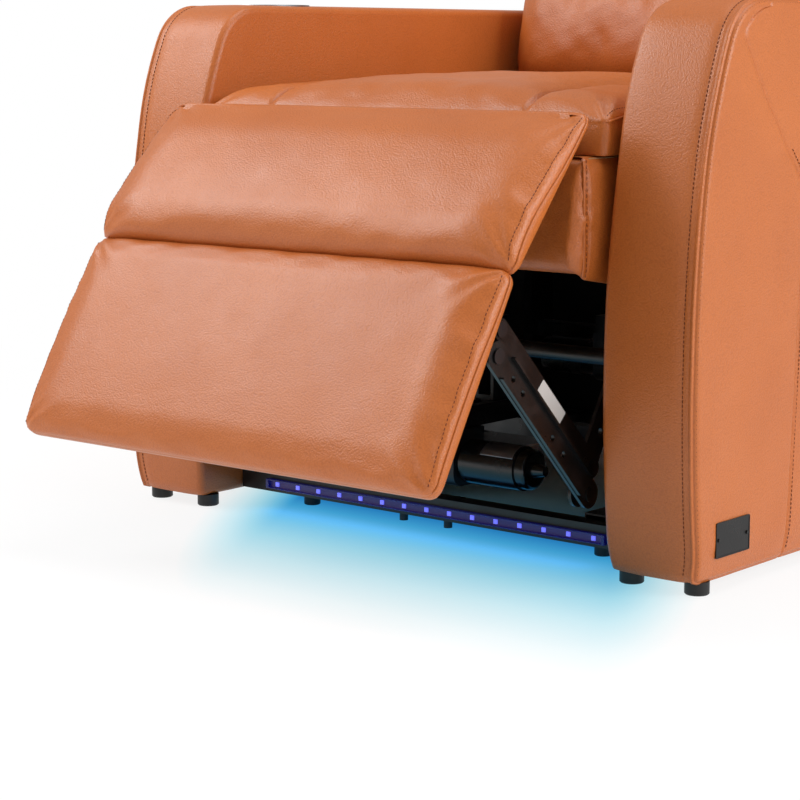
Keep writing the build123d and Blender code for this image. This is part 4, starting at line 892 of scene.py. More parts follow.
    def swelling(self) -> Array:
        """Let a coarse copy of the cover swell and crease as cloth, pinned at its seams.

        Returns:
            How far each place of the fine face moves, in millimetres.
        """
        points, faces, free = self.shape(coarse=True)
        blank_finish = bpy.data.materials.new("trial")
        piece = mesh_piece(f"{self.name}_trial", points, faces, blank_finish, mend=False)
        before = np.empty((len(points), 3), np.float32)
        piece.data.vertices.foreach_get("co", before.reshape(-1))
        pins = piece.vertex_groups.new(name="pins")
        pinned = np.round(1 - free, 1)
        for level in np.unique(pinned[pinned > 0]):
            pins.add(np.flatnonzero(pinned == level).tolist(), float(level), "REPLACE")
        modifier = piece.modifiers.new("cover", "CLOTH")
        cloth = modifier.settings
        cloth.quality, cloth.mass, cloth.air_damping = 5, 0.25, 2.0
        cloth.tension_stiffness = cloth.compression_stiffness = 40.0
        cloth.shear_stiffness, cloth.bending_stiffness = 20.0, 1.2
        cloth.shrink_min = -0.012
        cloth.use_pressure, cloth.uniform_pressure_force = True, 4.0
        cloth.vertex_group_mass, cloth.pin_stiffness = "pins", 4.0
        cloth.effector_weights.gravity = 0.0
        modifier.collision_settings.use_collision = False
        modifier.collision_settings.use_self_collision = False
        frames = 20
        modifier.point_cache.frame_start, modifier.point_cache.frame_end = 1, frames
        for number in range(1, frames + 1):
            bpy.context.scene.frame_set(number)
        graph = bpy.context.evaluated_depsgraph_get()
        after = np.empty_like(before)
        piece.evaluated_get(graph).data.vertices.foreach_get("co", after.reshape(-1))
        bpy.context.scene.frame_set(1)
        mesh = piece.data
        bpy.data.objects.remove(piece)
        bpy.data.meshes.remove(mesh)
        bpy.data.materials.remove(blank_finish)
        move = np.nan_to_num(after - before) / MM
        size = np.linalg.norm(move, axis=1, keepdims=True)
        log.info("%s swelled by %.1f mm before the cap", self.name, size.max())
        move *= np.tanh(size / self.swell) * self.swell / np.maximum(size, 1e-6)
        (xc, sc), (xf, sf) = self.stations(coarse=True), self.stations()
        grid = move[:len(xc) * len(sc)].reshape(len(sc), len(xc), 3)
        over = np.stack([np.interp(xf, xc, row) for row in np.eye(len(xc))], 1)
        down = np.stack([np.interp(sf, sc, row) for row in np.eye(len(sc))], 1)
        fine = np.einsum("ij,jkc,lk->ilc", down, grid, over)
        for _ in range(4):
            fine[1:-1] = (fine[:-2] + 2 * fine[1:-1] + fine[2:]) / 4
            fine[:, 1:-1] = (fine[:, :-2] + 2 * fine[:, 1:-1] + fine[:, 2:]) / 4
        return fine.reshape(-1, 3)

    def on_cover(self, piece: bpy.types.Object, path: Array, lift: float) -> tuple[Array, Array]:
        """Lay a line on the finished cover.

        Args:
            piece: the cover.
            path: places near the cover's face.
            lift: height over the cover.

        Returns:
            The laid places, and the outward direction at each.
        """
        tree = BVHTree.FromObject(piece, bpy.context.evaluated_depsgraph_get())
        found = [tree.find_nearest(Vector(place * MM)) for place in path]
        normals = np.array([hit[1] for hit in found])
        return np.array([hit[0] for hit in found]) / MM + normals * lift, normals

    def seam_path(self, side: int, inset: float, short: float) -> Array:
        """Line along one side seam, from near the pad's start to near its end.

        Args:
            side: -1 for the left edge, 1 for the right edge.
            inset: distance in from the edge.
            short: how far it stays clear of the pad's ends.

        Returns:
            Places along the line.
        """
        s = np.linspace(self.start + short, self.end - short, 150)
        return self.panel.place(*self.face(np.full_like(s, side * (self.half - inset)), s))

    def build(self, leather: bpy.types.Material, thread: bpy.types.Material) -> bpy.types.Object:
        """Make the cushion with its welts and stitches.

        Args:
            leather: the cover's finish.
            thread: the stitches' finish.

        Returns:
            The cushion.
        """
        points, faces, free = self.shape()
        if self.swell:
            moved = self.swelling()
            points[:len(moved)] += moved * np.minimum(1, 3 * free[:len(moved), None])
        piece = mesh_piece(self.name, points, faces, leather)
        bpy.context.view_layer.update()
        rows, welts = [], []
        for side in (-1, 1):
            laid, normals = self.on_cover(piece, self.seam_path(side, 4.6, 9.0), -0.1)
            rows.append(stitch_mesh(laid, normals, pitch=4.6, length=3.4, thick=0.42))
            edge = self.seam_path(side, -0.3, 1.0)
            edge[:, 1:] -= self.panel.normal()[1:] * 0.4
            welts.append(tube_mesh(edge, 1.3))
        if self.swell:
            smooth = piece.modifiers.new("fine", "SUBSURF")
            smooth.levels = smooth.render_levels = 1
        settle(piece, self.body, self.slot, *self.replaces)
        welt = mesh_piece(f"{self.name}_welt", *joined(welts), leather)
        settle(welt, self.body, self.slot)
        stitches = mesh_piece(f"{self.name}_stitches", *joined(rows), thread, mend=False)
        settle(stitches, self.body, self.slot)
        return piece


@dataclass
class SeatWrap:
    """The leather wrapped round the front and the sides of the seat box.

    A section runs from the top of the wooden rail out and down over the padding, under
    it and back up inside.  It is carried along a U in plan, the front's section turning
    into the sides' section round each corner, and closed to a point at both ends.
    """

    half: float = 278.0
    front: float = -26.0
    rear: float = 46.0
    corner: float = 7.0
    swell: float = 5.0          # of the padded sides, between corner and end
    front_section: Sequence[tuple[float, float]] = (
        (-38, 441.3), (-22, 441.3), (-12, 440.0), (-3, 436.8), (2, 431), (6, 420), (9.5, 402),
        (12.5, 380), (15, 360), (16.2, 345), (15, 335), (11, 328), (4, 324), (-6, 322.6),
        (-13.4, 323), (-13.6, 336),
    )
    side_section: Sequence[tuple[float, float]] = (
        (-27, 441.3), (-12, 441.3), (-5, 440.6), (-1, 437.6), (0.6, 431), (1.4, 420), (2, 402),
        (2.4, 380), (2.6, 360), (2.6, 345), (2.4, 334), (1.6, 326), (0.6, 321), (-1, 318.4),
        (-2.6, 318), (-2.7, 336),
    )
    bottom_fall: float = 0.17   # the sides' lower edge drops by this share to the rear
    low_edge: float = 318.0
    padded: float = 118.0       # height of the padding over its lower edge
    rail: float = 434.0         # above this the leather lies on the wooden rail

    def plan(self) -> tuple[Array, Array, Array]:
        """The U in plan as places, outward directions and shares of side, from 0 to 1."""
        run = graded([0, self.rear - self.front - self.corner], [2.5])
        turn = np.linspace(0, math.pi / 2, 12)[1:-1]
        span = self.half - self.corner
        across = graded([-span, -span + 40, span - 40, span], [3, 8, 3])
        side = np.stack([np.full_like(run, -self.half), self.rear - run], -1)
        centre = np.array([-span, self.front + self.corner])
        way = np.stack([-np.cos(turn), -np.sin(turn)], -1)
        bend = centre + self.corner * way
        face = np.stack([across, np.full_like(across, self.front)], -1)
        places = np.concatenate([side, bend, face, bend[::-1] * [-1, 1], side[::-1] * [-1, 1]])
        out = np.concatenate([
            np.tile([-1.0, 0.0], (len(run), 1)), way, np.tile([0.0, -1.0], (len(across), 1)),
            way[::-1] * [-1, 1], np.tile([1.0, 0.0], (len(run), 1))])
        return places, out, np.abs(out[:, 0])

    def shape(self) -> tuple[Array, Array]:
        """The section carried along the U as a closed skin."""
        places, out, share = self.plan()
        one, two = np.array(self.front_section), np.array(self.side_section)
        section = one[None] * (1 - share[:, None, None]) + two[None] * share[:, None, None]
        fine = np.linspace(0, len(one) - 1, 4 * len(one) - 3)
        knots = np.arange(len(one))
        offset = np.stack([np.interp(fine, knots, row[:, 0]) for row in section])
        height = np.stack([np.interp(fine, knots, row[:, 1]) for row in section])
        kernel = np.hanning(7)[1:-1] / np.hanning(7).sum()
        for grid in (offset, height):
            grid[:, 2:-2] = sum(w * grid[:, i:grid.shape[1] - 4 + i] for i, w in enumerate(kernel))
        back = places[:, 1] - self.front
        level = np.clip((height - self.low_edge) / self.padded, 0, 1)
        puff = np.clip(back / (self.rear - self.front), 0, 1) * (share > 0.99)
        offset += self.swell * np.sin(math.pi * puff[:, None]) * np.sin(math.pi * level) ** 0.5
        height -= self.bottom_fall * back[:, None] * (1 - level) ** 3 * (height < self.rail)
        spots = np.stack([
            places[:, None, 0] + out[:, None, 0] * offset,
            ARM_FRONT + places[:, None, 1] + out[:, None, 1] * offset, height], -1)
        skin = 0.9 * waves(spots * [1, 1, 0.55], 46.0, 41) + 0.4 * waves(spots, 17.0, 42)
        near = np.exp(-(back / 22.0) ** 2)[:, None] * (share > 0.5)[:, None]
        skin += 1.1 * near * waves(spots * [0.3, 0.3, 1.0], 14.0, 43)
        skin *= np.clip(4 * level, 0, 1) * (offset > -1)
        spots[..., 0] += out[:, None, 0] * skin
        spots[..., 1] += out[:, None, 1] * skin
        rows, cols = height.shape
        ends = [np.repeat(spots[i].mean(0)[None], cols, 0) for i in (0, -1)]
        points = np.concatenate([ends[0], spots.reshape(-1, 3), ends[1]])
        return points, quads(rows + 2, cols, wrap=True)

    def welt_path(self, side: int) -> Array:
        """The corner's seam, from the rail down to the padding's lower edge."""
        places, out, share = self.plan()
        number = int(np.argmin(np.abs(share - 0.72)))
        one, two = np.array(self.front_section), np.array(self.side_section)
        section = one * (1 - share[number]) + two * share[number]
        fine = np.linspace(3, 12, 70)
        offset = np.interp(fine, np.arange(len(one)), section[:, 0]) + 0.5
        height = np.interp(fine, np.arange(len(one)), section[:, 1])
        spots = places[number] + out[number] * offset[:, None]
        return np.stack([-side * spots[:, 0], ARM_FRONT + spots[:, 1], height], -1)

    def build(self, leather: bpy.types.Material, thread: bpy.types.Material) -> None:
        """Make the wrap with its corner welts and the stitches beside them."""
        piece = mesh_piece("seat_box_wrap", *self.shape(), leather)
        settle(piece, Body.BASE, Slot.PADDING, "seat_apron")
        paths = [self.welt_path(side) for side in (-1, 1)]
        welt = mesh_piece("seat_box_welts", *joined([tube_mesh(p, 1.5) for p in paths]), leather)
        settle(welt, Body.BASE, Slot.PADDING)
        rows = [stitch_mesh(path + [side * 2.4, 2.0, 0], np.array([side, -0.2, 0.0]), thick=0.42)
                for path, side in zip(paths, (-1, 1))]
        stitches = mesh_piece("seat_box_stitches", *joined(rows), thread, mend=False)
        settle(stitches, Body.BASE, Slot.PADDING)


@dataclass
class Labels:
    """Bare labels: one on the right upper link, one wrapped round the footrest's motor."""

    size: tuple[float, float] = (55.0, 19.0)
    middle: tuple[float, float] = (-53.0, 192.5)
    slope: float = 45.5
    corner: float = 1.5
    thick: float = 0.25
    plane: float = 260.25       # outer face of the link
    foil_turn: tuple[float, float] = (62.0, 148.0)  # round the can, from its rear, in degrees
    foil_run: tuple[float, float] = (0.30, 0.72)    # along the motor, as shares of its length

    def link_label(self, paper: bpy.types.Material) -> None:
        """A flat label with rounded corners, lying along the link."""
        long, wide = self.size
        turn = np.linspace(0, 2 * math.pi, 41)[:-1]
        u = np.sign(np.cos(turn)) * (long / 2 - self.corner) + self.corner * np.cos(turn)
        v = np.sign(np.sin(turn)) * (wide / 2 - self.corner) + self.corner * np.sin(turn)
        a = math.radians(self.slope)
        y = ARM_FRONT + self.middle[0] + u * math.cos(a) + v * math.sin(a)
        z = self.middle[1] - u * math.sin(a) + v * math.cos(a)
        rings = [np.stack([np.full_like(y, x), self.centred(y, k), self.centred(z, k)], -1)
                 for x, k in ((self.plane, 0.0), (self.plane, 1.0),
                              (self.plane + self.thick, 1.0), (self.plane + self.thick, 0.0))]
        label = mesh_piece("link_label", np.concatenate(rings), quads(4, len(y), wrap=True),
                           paper, smooth=False)
        settle(label, Body.UPPER_LINKS, Slot.BRIGHT)

    @staticmethod
    def centred(values: Array, share: float) -> Array:
        """Values drawn towards their mean, down to the mean at a share of 0."""
        return values.mean() + (values - values.mean()) * share

    def motor_label(self, foil: bpy.types.Material) -> None:
        """A foil bent round the motor's can, over its top and front."""
        low, high = (np.array(corner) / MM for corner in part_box("leg_motor"))
        centre = (low + high) / 2
        radius = (high[2] - low[2]) / 2 + 0.2
        turn = np.radians(np.linspace(*self.foil_turn, 40))
        x = np.linspace(*self.foil_run, 24) * (high[0] - low[0]) + low[0]
        angle, across = np.meshgrid(turn, x, indexing="ij")
        shells = []
        for r in (radius, radius + self.thick):
            shells.append(np.stack([across, centre[1] + r * np.cos(angle),
                                    centre[2] + r * np.sin(angle)], -1).reshape(-1, 3))
        rows, cols = angle.shape
        edge, count = rim(rows, cols), rows * cols
        following = np.roll(edge, -1)
        wall = np.stack([edge, following, following + count, edge + count], -1)
        faces = np.concatenate([quads(rows, cols)[:, ::-1], quads(rows, cols, start=count), wall])
        label = mesh_piece("motor_label", np.concatenate(shells), faces, foil)
        settle(label, Body.BASE, Slot.BRIGHT)


# ------------------------------------------------------------------------------ arms
@dataclass
class Arm:
    """One padded arm as a closed leather skin with corner seams and a side seam.

    The skin is two side panels, each a grid between the front and rear lines, joined by
    rounded corners to a band that runs up the front, over the top and down the rear.
    """

    name: str
    side: int
    inner: float = 295.0
    outer: float = 409.0
    low: float = 14.0
    high: float = 600.0
    depth: float = 860.0
    rear_round: float = 60.0
    corner: float = 8.5
    arcs: Sequence[tuple[float, float, float, float]] = (
        # centre behind, centre height, radius, height where the arc ends
        (1312.73, 214.63, 1327.97, 451.2),
        (460.24, 368.96, 461.62, 560.0),
        (102.13, 531.76, 68.25, 600.0),
    )
    seam_places: Sequence[tuple[float, float]] = (
        (14, 170), (162, 177), (286, 185), (385, 194), (404, 191), (420, 178), (446, 154),
        (500, 108), (560, 66), (600, 60),
    )
    foot_tuck: float = 6.5      # how far the leather is drawn in at its foot
    foot_height: float = 45.0   # over which it is drawn in
    cup: tuple[float, float] = (185.0, 40.8)        # behind the front, radius of the well

    def front_line(self, z: Array, inset: float) -> tuple[Array, Array]:
        """The front's side-view line, drawn in by an inset, and its outward direction.

        Each stretch is an arc: behind = centre - sqrt(radius^2 - (height - centre height)^2).
        """
        y, centre_y, centre_z = (np.zeros_like(z) for _ in range(3))
        start = -1e9
        for cy, cz, radius, top in self.arcs:
            here = (z > start) & (z <= top + 1e-6)
            r = radius - inset
            y = np.where(here, cy - np.sqrt(np.clip(r * r - (z - cz) ** 2, 0, None)), y)
            centre_y, centre_z = np.where(here, cy, centre_y), np.where(here, cz, centre_z)
            start = top if top != self.arcs[-1][3] else 1e9
        out = np.stack([y - centre_y, z - centre_z], -1)
        return y, out / np.linalg.norm(out, axis=-1, keepdims=True)

    def rear_line(self, z: Array, inset: float) -> tuple[Array, Array]:
        """The rear's side-view line and its outward direction: straight, then a quarter turn."""
        centre_z = self.high - self.rear_round
        radius = self.rear_round - inset
        lift = np.clip(z - centre_z, 0, None)
        y = self.depth - self.rear_round + np.sqrt(np.clip(radius ** 2 - lift ** 2, 0, None))
        out = np.stack([y - (self.depth - self.rear_round), lift], -1)
        return y, out / np.linalg.norm(out, axis=-1, keepdims=True)

    def foot_draw(self, z: Array) -> Array:
        """How far the side is drawn in at each height: a square law over the lowest part."""
        return self.foot_tuck * np.clip(1 - (z - self.low) / self.foot_height, 0, 1) ** 2

    def seam_line(self, z: Array) -> Array:
        """Where the side panel's seam stands at each height."""
        heights, places = zip(*self.seam_places)
        return np.interp(z, heights, places)

    def flank(self, outer: bool) -> tuple[Array, Array, Array]:
        """A side panel as a grid: rows run up, columns run from the front to the rear.

        Args:
            outer: whether it is the outer panel, which has the seam.

        Returns:
            Side-view places, outward offsets from the flat side, and each rim place's
            outward direction, in the order of the rim.
        """
        c = self.corner
        z = np.concatenate([
            graded([self.low + c, self.low + 60, 380, 470, self.high - 60], [3.5, 6, 4, 6]),
            self.high - 60 + (60 - c) * np.sin(np.linspace(0, math.pi / 2, 18))[1:],
        ])
        front, front_out = self.front_line(z, c)
        rear, rear_out = self.rear_line(z, c)
        seam = np.clip(self.seam_line(z), front + 12, rear - 40)
        a = graded([0, 0.06, 0.94, 0.985, 1], [0.012, 0.045, 0.009, 0.005])
        b = graded([0, 0.003, 0.012, 0.05, 0.97, 1], [0.0015, 0.003, 0.008, 0.018, 0.008])
        y = np.concatenate([
            front[:, None] + (seam - front)[:, None] * a,
            (seam[:, None] + (rear - seam)[:, None] * b)[:, 1:],
        ], 1)
        zz = np.broadcast_to(z[:, None], y.shape)
        slope = np.gradient(self.seam_line(z), z)
        off = (y - seam[:, None]) / np.sqrt(1 + slope[:, None] ** 2)
        places = np.stack([np.zeros_like(y), y, zz], -1)
        puff = 1.6 * waves(places, 260.0, 11) + 0.35 * waves(places, 60.0, 12)
        puff = puff * 0.5 - self.foot_draw(zz)
        if outer:
            puff -= 1.1 * np.exp(-(off / 1.6) ** 2) + 0.9 * np.exp(-np.abs(off) / 9.0)
        rows, cols = y.shape
        down = np.tile([0.0, -1.0], (cols, 1))
        out = np.concatenate([
            down, rear_out[1:], np.tile([0.0, 1.0], (cols - 2, 1))[::-1], front_out[::-1][:-1]])
        corner = np.array([-0.7071, -0.7071])
        out[0] = corner
        out[cols - 1] = corner * [-1, 1]
        return np.stack([y, zz], -1), puff, out

    def shape(self) -> tuple[Array, Array]:
        """Both side panels, the rounded corners and the band as one closed skin."""
        flat, puff, out = self.flank(True)
        _, puff_in, _ = self.flank(False)
        puff_in = np.minimum(puff_in, 0.3)      # clear of the lining
        rows, cols = puff.shape
        edge = rim(rows, cols)
        edge_flat = flat.reshape(-1, 2)[edge]
        c = self.corner

        def ring(x: Array | float, push: Array | float) -> Array:
            """The edge at some x, pushed out by some distance."""
            place = edge_flat + out * np.reshape(push, (-1, 1))
            return np.stack([
                np.broadcast_to(x, len(edge)), ARM_FRONT + place[:, 0], place[:, 1]], -1)

        edge_out, edge_in = puff.reshape(-1)[edge], puff_in.reshape(-1)[edge]
        panel = np.stack([self.outer + puff, ARM_FRONT + flat[..., 0], flat[..., 1]], -1)
        rings = []
        # Outer corner: a quarter turn with a shallow groove and the welt's ridge.
        for angle, bump in ((8, 0), (18, 0.1), (30, 0.2), (42, 0.0), (50, -0.5), (56, -0.9),
                            (61, -0.3), (66, 0.9), (72, 1.5), (79, 1.2), (85, 0.1), (90, -0.7)):
            a = math.radians(angle)
            rings.append(ring(self.outer + edge_out - c * (1 - math.cos(a)) + bump * math.cos(a),
                              c * math.sin(a) + bump * math.sin(a)))
        width = self.outer - self.inner - c
        for t, sink in ((0.015, -0.5), (0.035, -0.1), (0.06, -0.1), (0.075, -0.35), (0.09, -0.1)):
            rings.append(ring(self.outer + edge_out * (1 - t) - c - t * (width - 9), sink + c))
        for t in np.linspace(0.14, 0.9, 14):
            dome = 1.2 * (1 - (2 * t - 1) ** 4)
            rings.append(ring(
                self.outer - c - t * (width - 9) + edge_out * (1 - t) - edge_in * t, c + dome))
        for angle in np.linspace(90, 12, 8):
            a = math.radians(angle)
            rings.append(ring(self.inner - edge_in + c * (1 - math.cos(a)), c * math.sin(a)))
        inner = np.stack([self.inner - puff_in, ARM_FRONT + flat[..., 0], flat[..., 1]], -1)
        size = len(edge)
        strip = np.concatenate(rings)
        count = rows * cols
        first = np.stack([edge, np.arange(size) + count,
                          np.roll(np.arange(size), -1) + count, np.roll(edge, -1)], -1)
        band = quads(len(rings), size, start=count, wrap=True)[:, ::-1]
        tail = count + len(strip)
        last_ring = np.arange(size) + tail - size
        final = np.stack([last_ring, edge + tail, np.roll(edge, -1) + tail,
                          np.roll(last_ring, -1)], -1)
        points = np.concatenate([panel.reshape(-1, 3), strip, inner.reshape(-1, 3)])
        points[:, 0] *= self.side
        faces = np.concatenate([
            quads(rows, cols), first, band, final, quads(rows, cols, start=tail)[:, ::-1]])
        return points, faces

    def corner_path(self, across: float, push: float) -> Array:
        """Line that follows the arm's outer front corner from its foot to the rear's foot.

        Args:
            across: distance in from the outer side.
            push: distance out from the drawn-in rim.

        Returns:
            Places along the line.
        """
        flat, puff, out = self.flank(True)
        rows, cols = puff.shape
        order = np.concatenate([
            np.arange(0, rows) * cols, (rows - 1) * cols + np.arange(1, cols),
            np.arange(rows - 2, -1, -1) * cols + cols - 1])
        full = rim(rows, cols)
        lookup = np.zeros(rows * cols, int)
        lookup[full] = np.arange(len(full))
        place = flat.reshape(-1, 2)[order] + out[lookup[order]] * push
        lean = puff.reshape(-1)[order]
        path = np.stack([self.side * (self.outer + lean - across),
                         ARM_FRONT + place[:, 0], place[:, 1]], -1)
        return path[1:-1]

    def build(self, leather: bpy.types.Material, thread: bpy.types.Material) -> None:
        """Make the arm's skin and its stitches."""
        points, faces = self.shape()
        piece = mesh_piece(f"{self.name}_arm_leather", points, faces, leather)
        self.cut_well(piece)
        settle(piece, Body.BASE, Slot.PADDING, f"{self.name}_arm_cover")
        band = self.corner_path(self.corner + 7.2, self.corner + 0.1)
        flank = self.corner_path(1.5, 4.4)
        z = np.linspace(self.low + 12, 446, 140)
        rear_of_seam = np.where(z < 400, 4.5, 8.0)
        seam = np.stack([np.full_like(z, self.side * (self.outer - 0.2)),
                         ARM_FRONT + self.seam_line(z) + rear_of_seam, z], -1)
        seam[:, 0] -= self.side * self.foot_draw(z)
        out = np.array([self.side, 0.0, 0.0])
        normal = np.gradient(band, axis=0)[:, [0, 2, 1]] * [0, -1, 1]
        normal /= np.linalg.norm(normal, axis=1, keepdims=True)
        fine = {"pitch": 4.6, "length": 3.3, "thick": 0.42}
        rows = [stitch_mesh(band, normal, **fine), stitch_mesh(flank, out, **fine),
                stitch_mesh(seam, out, **fine)]
        stitches = mesh_piece(f"{self.name}_arm_stitches", *joined(rows), thread, mend=False)
        settle(stitches, Body.BASE, Slot.PADDING)

    def cut_well(self, piece: bpy.types.Object) -> None:
        """Cut the round hole that the cup holder hangs in."""
        bpy.ops.mesh.primitive_cylinder_add(
            radius=self.cup[1] * MM, depth=0.2, vertices=96,
            location=(self.side * (self.inner + self.outer) / 2 * MM,
                      (ARM_FRONT + self.cup[0]) * MM, (self.high - 15) * MM))
        cutter = bpy.context.object
        modifier = piece.modifiers.new("well", "BOOLEAN")
        modifier.operation, modifier.object, modifier.solver = "DIFFERENCE", cutter, "EXACT"
        bpy.context.view_layer.update()
        evaluated = piece.evaluated_get(bpy.context.evaluated_depsgraph_get())
        mesh = bpy.data.meshes.new_from_object(evaluated)
        piece.modifiers.clear()
        old, piece.data = piece.data, mesh
        bpy.data.meshes.remove(old)
        bpy.data.objects.remove(cutter)


# ------------------------------------------------------------------------------ studio
@dataclass
class Studio:
    """Floor, lamps, world and the camera at the photograph's viewing angle."""

    eye: tuple[float, float, float] = (1602.0, -1882.0, 553.0)
    turn: tuple[float, float, float] = (81.04, 0.0, 40.14)
    lens: float = 101.25
    lamps: Sequence[tuple[str, tuple[float, float, float], tuple[float, float, float],
                          float, float]] = (
        # name, place, aim, size, power; metres and watts
        ("right_softbox", (3.2, 0.5, 1.5), (0.3, 0.0, 0.3), 1.7, 70.0),
        ("sheen_softbox", (-2.1, -1.1, 2.55), (0.0, -0.4, 0.42), 1.2, 31.0),
        ("low_softbox", (-1.7, -1.8, 1.65), (0.0, -0.52, 0.25), 1.2, 24.0),
        ("top_softbox", (0.6, 0.2, 3.2), (0.0, 0.0, 0.4), 1.8, 34.0),
    )

    daylight: float = 0.42      # the world's strength on the chair; the camera sees it as white
    floor_half: float = 6000.0
    strip_size: tuple[float, float] = (0.48, 0.012)         # of the lamp that stands for the strip
    strip_place: tuple[float, float] = (52.0, 26.0)
    strip_tilt: float = -35.0
    strip_power: float = 0.16
    strip_colour: tuple[float, float, float] = (0.05, 0.4, 1.0)

    def build(self) -> None:
        """Set the stage."""
        scene = bpy.context.scene
        scene.view_settings.view_transform = "Standard"
        camera = bpy.data.cameras.new("camera")
        camera.lens, camera.sensor_width, camera.clip_end = self.lens, 36.0, 100.0
        holder = bpy.data.objects.new("camera", camera)
        holder.location = (self.eye[0] * MM, (self.eye[1] + ARM_FRONT) * MM, self.eye[2] * MM)
        holder.rotation_euler = [math.radians(a) for a in self.turn]
        scene.collection.objects.link(holder)
        scene.camera = holder
        world = bpy.data.worlds.new("studio")
        world.use_nodes = True
        scene.world = world
        tree = world.node_tree
        seen = seen_by(tree, "Is Camera Ray", "Is Transmission Ray")
        level = put(tree, "ShaderNodeMapRange", {
            "Value": seen, "To Min": self.daylight, "To Max": 1.0})
        plug(tree, tree.nodes["Background"], {
            "Strength": level.outputs["Result"], "Color": linear("FFFFFF")})
        for name, place, aim, size, power in self.lamps:
            turn = (Vector(aim) - Vector(place)).to_track_quat("-Z", "Y").to_euler()
            self.lamp(name, (size, size), power, (1.0, 1.0, 1.0), place, turn)
        finish = StudioFloor("painted studio floor", (-20.0, ARM_FRONT + 130, 235.0),
                             (120.0, 440.0)).build()
        corners = self.floor_half * np.array([[-1, -1, 0], [1, -1, 0], [1, 1, 0], [-1, 1, 0]])
        floor = mesh_piece("floor", corners, np.array([[0, 1, 2, 3]]), finish, mend=False)

    @staticmethod
    def lamp(name: str, size: tuple[float, float], power: float,
             colour: tuple[float, float, float], place: Sequence[float],
             turn: Sequence[float]) -> None:
        """Add a rectangular lamp.

        Args:
            name: the lamp's name.
            size: its width and height in metres.
            power: in watts.
            colour: linear red, green and blue.
            place: in metres.
            turn: Euler angles.
        """
        lamp = bpy.data.lights.new(name, "AREA")
        lamp.shape, lamp.size, lamp.size_y = "RECTANGLE", *size
        lamp.energy, lamp.color = power, colour
        light = bpy.data.objects.new(name, lamp)
        light.location, light.rotation_euler = place, turn
        bpy.context.scene.collection.objects.link(light)

    def strip_light(self) -> None:
        """The light that the diodes throw down on the floor and the feet."""
        behind, height = self.strip_place
        self.lamp("strip_glow", self.strip_size, self.strip_power, self.strip_colour,
                  (0, (ARM_FRONT + behind) * MM, height * MM),
                  (math.radians(self.strip_tilt), 0, 0))


FINISHES = {
    "cognac_leather": GrainedLeather("cognac grained cowhide", "C06827", "B96223", "74300E"),
    "padded_leather": GrainedLeather("cognac cowhide over foam", "C0692B", "B96326", "74300E"),
    "plywood": Plywood("bare birch plywood", "B59870", "96774C"),
    "black_lining": WovenCloth("black non-woven lining", "060606", 2.0),
    "black_steel": PowderCoat("satin black powder coat", "0E0A09", "241917", 0.33),
    "bright_steel": PlatedSteel("blackened zinc-plated steel", "4A4748"),
    "cup_steel": PlatedSteel("brushed stainless steel", "8F9093", (300.0, 300.0, 30.0)),
    "black_plastic": MouldedPlastic("textured black ABS", "0D0D0D"),
    "motor_black": PowderCoat("gloss black enamel", "0B0A0B", "1B1718", 0.2),
    "badge_black": PowderCoat("anodised black aluminium", "161616", "242424", 0.3, 0.5),
    # the clear cover's and the board's faint glow is painted light from the diodes
    "clear_plastic": MouldedPlastic("blue-tinted polycarbonate", "2C3A86", 0.2, 0.05, 0.6,
                                    "2A1CFF", 0.03),
    "led_board": MouldedPlastic("dusky solder-mask board", "4A3A52", 0.4, 0.1, 0.0,
                                "3A2AFF", 0.05),
    "led_diode": MouldedPlastic("lit blue-violet diode", "8A88D8", 0.3, 0.0, 0.0, "6C70FF", 0.8),
    "webbing": WovenCloth("black elastic webbing", "15130F", 2.4),
}
COVERED = {"headrest_board": "padded_leather"}         # wood that its cover goes right round
THREAD = WovenCloth("bonded polyester thread", "5A1C0C", 0.5)
PAPER = MouldedPlastic("white vinyl label", "D9D6D2", 0.4, 0.08)
FOIL = PlatedSteel("silver polyester foil", "8B8B90", (60.0, 60.0, 60.0), 0.42)


def joint_place(name: str) -> tuple[float, float]:
    """A joint's axis in the side view, from the record."""
    joints = frame["record"]["behaviour"]["joints"]
    place = next(joint["pos_m"] for joint in joints if joint["name"] == name)
    return place[1] / MM - ARM_FRONT, place[2] / MM


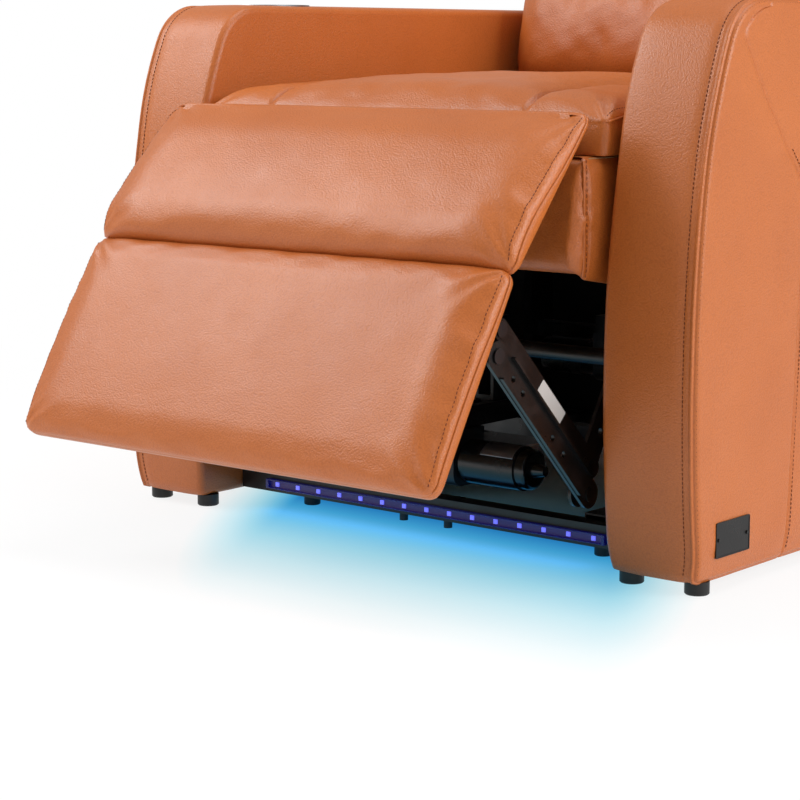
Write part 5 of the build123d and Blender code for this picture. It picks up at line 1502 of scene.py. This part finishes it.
def cushions() -> list[Cushion]:
    """Every cushion with its sizes."""
    flap = Panel.sloping(joint_place("footrest_hinge"), FLAP_SLOPE)
    board = Panel.sloping(joint_place("ottoman_hinge"), BOARD_SLOPE)
    back = Panel.leaning(joint_place("backrest_pivot"), BACK_LEAN)
    rear = Panel(back.origin, back.along, (-back.ahead[0], -back.ahead[1]))
    seat = Panel((0.0, 0.0), (1.0, 0.0), (0.0, 1.0))
    return [
        Cushion("flap_pad", Body.FLAP, flap, 291.5, 0.5, 196, 26.3,
                [(0, 19), (41, 18.5), (82, 21), (105, 25), (141, 28.5), (170, 26), (196, 19)],
                60, high_line=0.72, fall=9, bow=3, roll_side=58, roll_ends=(60, 44),
                back=14, lip=22, board_half=275, draw_in=0, pucker=1.8, gather=0.9,
                wrinkle=0.3, corner_round=14,
                seed=5, replaces=["flap_cushion"]),
        Cushion("ottoman_pad", Body.OTTOMAN, board, 291.5, 1, 239, 18.3,
                [(0, 13), (21, 12), (58, 13), (99, 17), (155, 18.6), (214, 17.6), (239, 15.5)],
                45, high_line=0.55, fall=5, bow=2, roll_side=50, roll_ends=(30, 40),
                back=6, lip=22, board_half=275, draw_in=0, pucker=1.8, gather=0.8,
                wrinkle=0.2, corner_round=15,
                seed=8, replaces=["ottoman_cushion"]),
        Cushion("seat_pad", Body.BASE, seat, 286, 1.5, 548, 441.8,
                [(0, 474), (60, 488), (480, 488), (548, 480)], 516, fall=9, bow=9,
                roll_side=46, roll_ends=(46, 36), channels=(-182, 182),
                channel_depth=5, draw_in=6, wrinkle=0.9, pucker=1.8, seed=12,
                replaces=["seat_cushion"]),
        Cushion("lumbar_pad", Body.BACKREST, back, 284, 143, 419, 15.3,
                [(143, 30), (190, 54), (370, 54), (419, 30)], 118, fall=14, bow=14,
                roll_side=60, roll_ends=(50, 50), cross_channels=(290,),
                channel_depth=6, wrinkle=1.0, pucker=2.2, fill=0.85, seed=21,
                replaces=["lumbar_cushion"]),
        Cushion("upper_back_pad", Body.BACKREST, back, 284, 423, 612, 15.3,
                [(423, 30), (460, 48), (575, 48), (612, 30)], 103, fall=13, bow=13,
                roll_side=60, roll_ends=(46, 46), wrinkle=1.0, pucker=2.2,
                fill=0.85, seed=23, replaces=["upper_back_cushion"]),
        Cushion("headrest_pad", Body.HEADREST, back, 269, 631, 787, 24.4,
                [(631, 38), (660, 52), (758, 52), (787, 38)], 95, fall=10, bow=10,
                roll_side=52, roll_ends=(40, 40), wrinkle=0.9, pucker=2.0,
                fill=0.85, seed=25, replaces=["headrest_cushion"]),
        Cushion("rear_panel", Body.BACKREST, rear, 286, 50, 780, 15.5,
                [(50, 17), (90, 20), (740, 20), (780, 17)], 28, fall=1.5, bow=1.5,
                roll_side=16, roll_ends=(16, 16), back=-14.5, lip=11.5,
                board_half=274.5, wrinkle=0.4, pucker=0.6, fill=0.4, swell=0, seed=31,
                slot=Slot.LEATHER,
                replaces=["back_shell"]),
    ]


def main() -> None:
    """Build the studio and every dressed piece."""
    logging.basicConfig(level=logging.INFO, format="%(message)s")
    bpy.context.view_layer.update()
    finishes = {name: finish.build() for name, finish in FINISHES.items()}
    thread = THREAD.build()
    slots = {entry["node"]: entry["material_slot"] for entry in frame["record"]["subparts"]}
    for node, piece in frame["nodes"].items():
        piece.data.materials.clear()
        piece.data.materials.append(finishes[COVERED.get(node, slots[node])])
    studio = Studio()
    studio.build()
    studio.strip_light()
    for cushion in cushions():
        cushion.build(finishes[cushion.slot.value], thread)
    for name, side in (("left", -1), ("right", 1)):
        Arm(name, side).build(finishes["padded_leather"], thread)
    SeatWrap().build(finishes["padded_leather"], thread)
    labels = Labels()
    labels.link_label(PAPER.build())
    labels.motor_label(FOIL.build())


if __name__ == "__main__":
    main()
